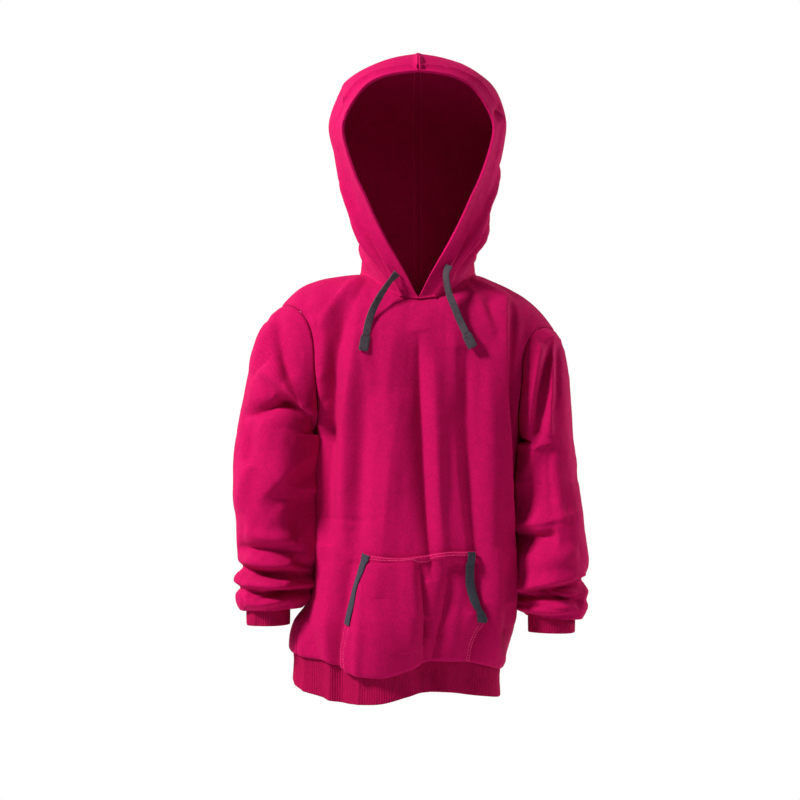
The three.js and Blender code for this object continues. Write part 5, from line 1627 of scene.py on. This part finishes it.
@dataclass
class Drawcords:
    """Two flat woven cords, each with its end folded double and stitched."""

    width: float = 9
    thick: float = 2.2
    end_width: float = 12
    end_thick: float = 4
    end_height: float = 19
    steps: int = 64
    section: int = 20

    def outline(self, width: float, thick: float) -> np.ndarray:
        """Returns the rounded section of a tape, as distances across and through."""
        angle = 360 * np.arange(self.section) / self.section
        across = width / 2 * np.sign(cosine(angle)) * np.abs(cosine(angle)) ** 0.35
        through = thick / 2 * np.sign(sine(angle)) * np.abs(sine(angle)) ** 0.55
        return np.stack([across, through], axis=1)

    def tube(self, name: str, path: np.ndarray, turn: np.ndarray, sizes: np.ndarray) -> bpy.types.Object:
        """Makes a closed tape along a path.

        Args:
            name: The piece's name.
            path: Its middle line, in millimetres.
            turn: The turn of its flat side at each place.
            sizes: Its width and thickness at each place.

        Returns:
            The piece.
        """
        along = unit(np.gradient(path, axis=0))
        flat = np.stack([cosine(turn), sine(turn), np.zeros(len(turn))], axis=1)
        wide = unit(flat - along * np.sum(flat * along, axis=1, keepdims=True))
        through = np.cross(wide, along)
        rings = []
        for k, point in enumerate(path):
            outline = self.outline(*sizes[k])
            rings.append(point + outline[:, :1] * wide[k] + outline[:, 1:] * through[k])
        piece = cloth_from(name, Net(np.array(rings)[:, ::-1], closed=True))
        make_active(piece)
        bpy.ops.object.mode_set(mode="EDIT")
        bpy.ops.mesh.select_all(action="DESELECT")
        bpy.ops.mesh.select_non_manifold(extend=False)
        bpy.ops.mesh.edge_face_add()
        bpy.ops.mesh.select_all(action="SELECT")
        bpy.ops.mesh.normals_make_consistent(inside=False)
        bpy.ops.object.mode_set(mode="OBJECT")
        limit = math.radians(70)
        add_modifier(piece, "BEVEL", width=0.4 * MM, segments=2, limit_method="ANGLE", angle_limit=limit)
        smooth(piece)
        return piece

    def build(self, finishes: Finishes) -> None:
        for route in ROUTES:
            word = route.side.word
            path, turn = route.sampled(self.steps)
            width = self.width + 0.12 * np.sin(np.arange(self.steps) * 1.1)
            sizes = np.stack([width, np.full(self.steps, self.thick)], axis=1)
            cord = self.tube(f"cord_{word}_tape", path, turn, sizes)
            finish_piece(cord, finishes.cord, [f"cord_{word}"])
            end = self.end(route, finishes)

    def end(self, route: CordRoute, finishes: Finishes) -> bpy.types.Object:
        """Makes one cord's folded end, with its rows of stitches."""
        path, turn = route.sampled(self.steps)
        way = unit(path[-1] - path[-6])
        start = path[-1] + way * 0.3
        t = np.linspace(0, 1, 16)
        line = start + way * (t * self.end_height)[:, None]
        width = self.end_width * (0.86 + 0.14 * smoothstep(t, 0, 0.15) - 0.05 * smoothstep(t, 0.85, 1))
        thick = self.end_thick * (0.85 + 0.15 * np.sin(math.pi * t))
        name = f"cord_end_{route.side.word}"
        sizes = np.stack([width, thick], axis=1)
        piece = self.tube(f"{name}_fold", line, np.full(len(line), turn[-1]), sizes)
        finish_piece(piece, finishes.cord, [name])
        flat = np.array([cosine(turn[-1]), sine(turn[-1]), 0])
        wide = unit(flat - way * (flat @ way))
        through = np.cross(wide, way)
        front = -through if through[1] > 0 else through
        sewer = Seamstress(length=1.8, gap=0.3, thread=0.5, sink=0.05)
        for share in (0.12, 0.3, 0.86):
            middle = start + way * share * self.end_height
            across = np.linspace(-self.end_width * 0.42, self.end_width * 0.42, 9)
            points = middle + wide * across[:, None] + front * (self.end_thick / 2 * 0.98)
            sewer.line(points, np.broadcast_to(front, points.shape))
        finish_piece(sewer.sew(f"{name}_stitches"), finishes.dark_thread)
        return piece


# Sewing


@dataclass
class Sewing:
    """The top stitching, the twin lines beside seams and the buttonholes."""

    hood: HoodCut = HoodCut()
    pocket: PocketCut = PocketCut()
    middle_line: float = 5  # millimetres from the hood's middle seam to the stitches beside it
    buttonhole: tuple[float, float] = (7.0, 2.8)  # half its length and half its width

    def build(self, hood: dict[Side, Net], pocket: Net, finishes: Finishes) -> None:
        """Sews every line of stitches that shows."""
        self.hood_lines(hood, finishes)
        self.pocket_lines(pocket, finishes)
        self.buttonholes(hood, finishes)

    def hood_lines(self, hood: dict[Side, Net], finishes: Finishes) -> None:
        """Sews the tunnel's line and a line on each side of the middle seam."""
        sewer = Seamstress()
        for side, net in hood.items():
            shares = self.hood.shares()
            if side is Side.LEFT:
                shares = shares[::-1]
            rows = np.linspace(2, net.points.shape[0] - 2, 500)
            order = np.argsort(shares)
            for share in (self.hood.hem_share * 0.94, 1 - self.middle_line / self.hood.back_reach):
                column = np.interp(share, shares[order], order.astype(float))
                points, normals = net.at(rows, np.full(rows.shape, column))
                sewer.line(points, normals)
            top = np.linspace(0, len(shares) - 1, 60)
            inner = shares[np.rint(top).astype(int)] < 0.97
            points, normals = net.at(np.full(int(inner.sum()), net.points.shape[0] - 3.2), top[inner])
            sewer.line(points, normals)
        finish_piece(sewer.sew("hood_stitches"), finishes.thread)

    def pocket_lines(self, pocket: Net, finishes: Finishes) -> None:
        """Sews the double lines along the pocket's upper edge and lower slants."""
        sewer = Seamstress()
        rows, columns = pocket.points.shape[:2]
        across, down = pocket.lengths()
        span = np.linspace(0, columns - 1, 160)
        for inset in self.pocket.lines:
            row = np.interp(inset, down, np.arange(rows))
            sewer.line(*pocket.at(np.full(160, row), span))
        z = self.pocket.heights(rows)
        first = float(np.interp(-self.pocket.opening_end, -z, np.arange(rows)))
        below = np.linspace(first, rows - 2, 80)
        for inset in self.pocket.slant_lines:
            column = np.interp(inset, across, np.arange(columns))
            sewer.line(*pocket.at(below, np.full(80, column)))
            sewer.line(*pocket.at(below, np.full(80, columns - 1 - column)))
        finish_piece(sewer.sew("pocket_stitches"), finishes.thread)

    def buttonholes(self, hood: dict[Side, Net], finishes: Finishes) -> None:
        """Sews a close ring of stitches round each cord's way out."""
        sewer = Seamstress(length=1.9, gap=-1.2, thread=0.6, sink=0.1)
        for route in ROUTES:
            net = hood[route.side]
            path, _ = route.sampled(8)
            normals = net.normals()
            near = np.argmin(np.linalg.norm(net.points - path[0], axis=2))
            r, c = np.unravel_index(near, net.points.shape[:2])
            centre, out = net.points[r, c], normals[r, c]
            long_way = unit(net.points[r + 6, c] - net.points[r - 6, c])
            short_way = unit(np.cross(out, long_way))
            turn = np.linspace(0, 360, 60)[:, None]
            half_long, half_wide = self.buttonhole
            around = half_long * cosine(turn) * long_way + half_wide * sine(turn) * short_way
            ring = centre + out * 0.2 + around
            sewer.line(ring, np.broadcast_to(out, ring.shape))
        finish_piece(sewer.sew("buttonhole_stitches"), finishes.thread)


# The studio


@dataclass
class Studio:
    """The camera, the light and the floor."""

    middle: tuple[float, float, float] = (-22.5, 0.0, -150.0)
    distance: float = 3000
    frame_width: float = 1000  # millimetres across the picture at the garment
    floor_z: float = -1120
    air: float = 0.1  # brightness of the pale air on the garment

    def camera(self) -> None:
        """Sets the camera level in front, at the picture's middle."""
        data = bpy.data.cameras.new("camera")
        camera = bpy.data.objects.new("camera", data)
        bpy.context.scene.collection.objects.link(camera)
        camera.location = (self.middle[0] * MM, -self.distance * MM, self.middle[2] * MM)
        camera.rotation_euler = (math.radians(90), 0, 0)
        data.sensor_width = 36
        data.lens = data.sensor_width * self.distance / self.frame_width
        data.clip_end = 50
        bpy.context.scene.camera = camera

    def lamp(
        self, name: str, place: tuple[float, float, float], size: float, power: float, colour: str
    ) -> None:
        """Adds a square soft light that looks at the garment's middle.

        Args:
            name: The light's name.
            place: Its place, in metres.
            size: Its side, in metres.
            power: Its power, in watts.
            colour: Its colour.
        """
        data = bpy.data.lights.new(name, "AREA")
        data.size = size
        data.energy = power
        data.color = linear(colour)[:3]
        light = bpy.data.objects.new(name, data)
        bpy.context.scene.collection.objects.link(light)
        light.location = place
        aim = Vector([v * MM for v in self.middle]) - Vector(place)
        light.rotation_euler = aim.to_track_quat("-Z", "Y").to_euler()

    def light(self) -> None:
        """Sets a grazing light from either side, a weak fill, two rims and pale air all round."""
        self.lamp("key", (-2.1, -1.15, 1.7), 0.55, 165, "#fff8f8")
        self.lamp("side", (2.6, -0.4, 0.9), 0.9, 30, "#fff8fa")
        self.lamp("fill", (0.9, -2.9, 1.2), 1.6, 7, "#fff6fa")
        self.lamp("rim", (-1.7, 1.2, 0.7), 1.0, 28, "#ffffff")
        self.lamp("rim_right", (1.7, 1.0, 0.4), 1.0, 24, "#ffffff")
        world = bpy.data.worlds.new("studio")
        world.use_nodes = True
        tree = world.node_tree
        tree.nodes.clear()
        seen = add_node(tree, "ShaderNodeBackground", Color=(1, 1, 1, 1), Strength=1.0)
        lit = add_node(tree, "ShaderNodeBackground", Color=(1, 1, 1, 1), Strength=self.air)
        ray = add_node(tree, "ShaderNodeLightPath")
        both = add_node(
            tree,
            "ShaderNodeMixShader",
            Fac=ray.outputs["Is Camera Ray"],
            i1=lit.outputs["Background"],
            i2=seen.outputs["Background"],
        )
        add_node(tree, "ShaderNodeOutputWorld", Surface=both.outputs["Shader"])
        bpy.context.scene.world = world
        bpy.context.scene.view_settings.view_transform = "Standard"

    def floor(self, finishes: Finishes) -> None:
        """Adds a plain pale floor below the garment."""
        deselect_all()
        bpy.ops.mesh.primitive_circle_add(vertices=96, radius=2.0, fill_type="NGON")
        floor = bpy.context.object
        floor.name = "floor"
        floor.data.transform(Matrix.Translation((0, 0, self.floor_z * MM)))
        floor.data.materials.append(finishes.paper)


def main() -> None:
    """Builds the hoodie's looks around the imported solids."""
    logging.basicConfig(level=logging.INFO, format="%(message)s")
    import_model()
    finishes = Finishes()
    studio = Studio()
    studio.camera()
    Drawcords().build(finishes)
    studio.light()
    studio.floor(finishes)
    cut = BodyCut()
    panels = Body(cut).build(finishes)
    Sleeves().build(cut, finishes)
    hood = Hood().build(cut, finishes)
    pocket = Pocket().build(cut, finishes)
    HemRib().build(cut, panels, finishes)
    Sewing().build(hood, pocket, finishes)


if __name__ == "__main__":
    main()
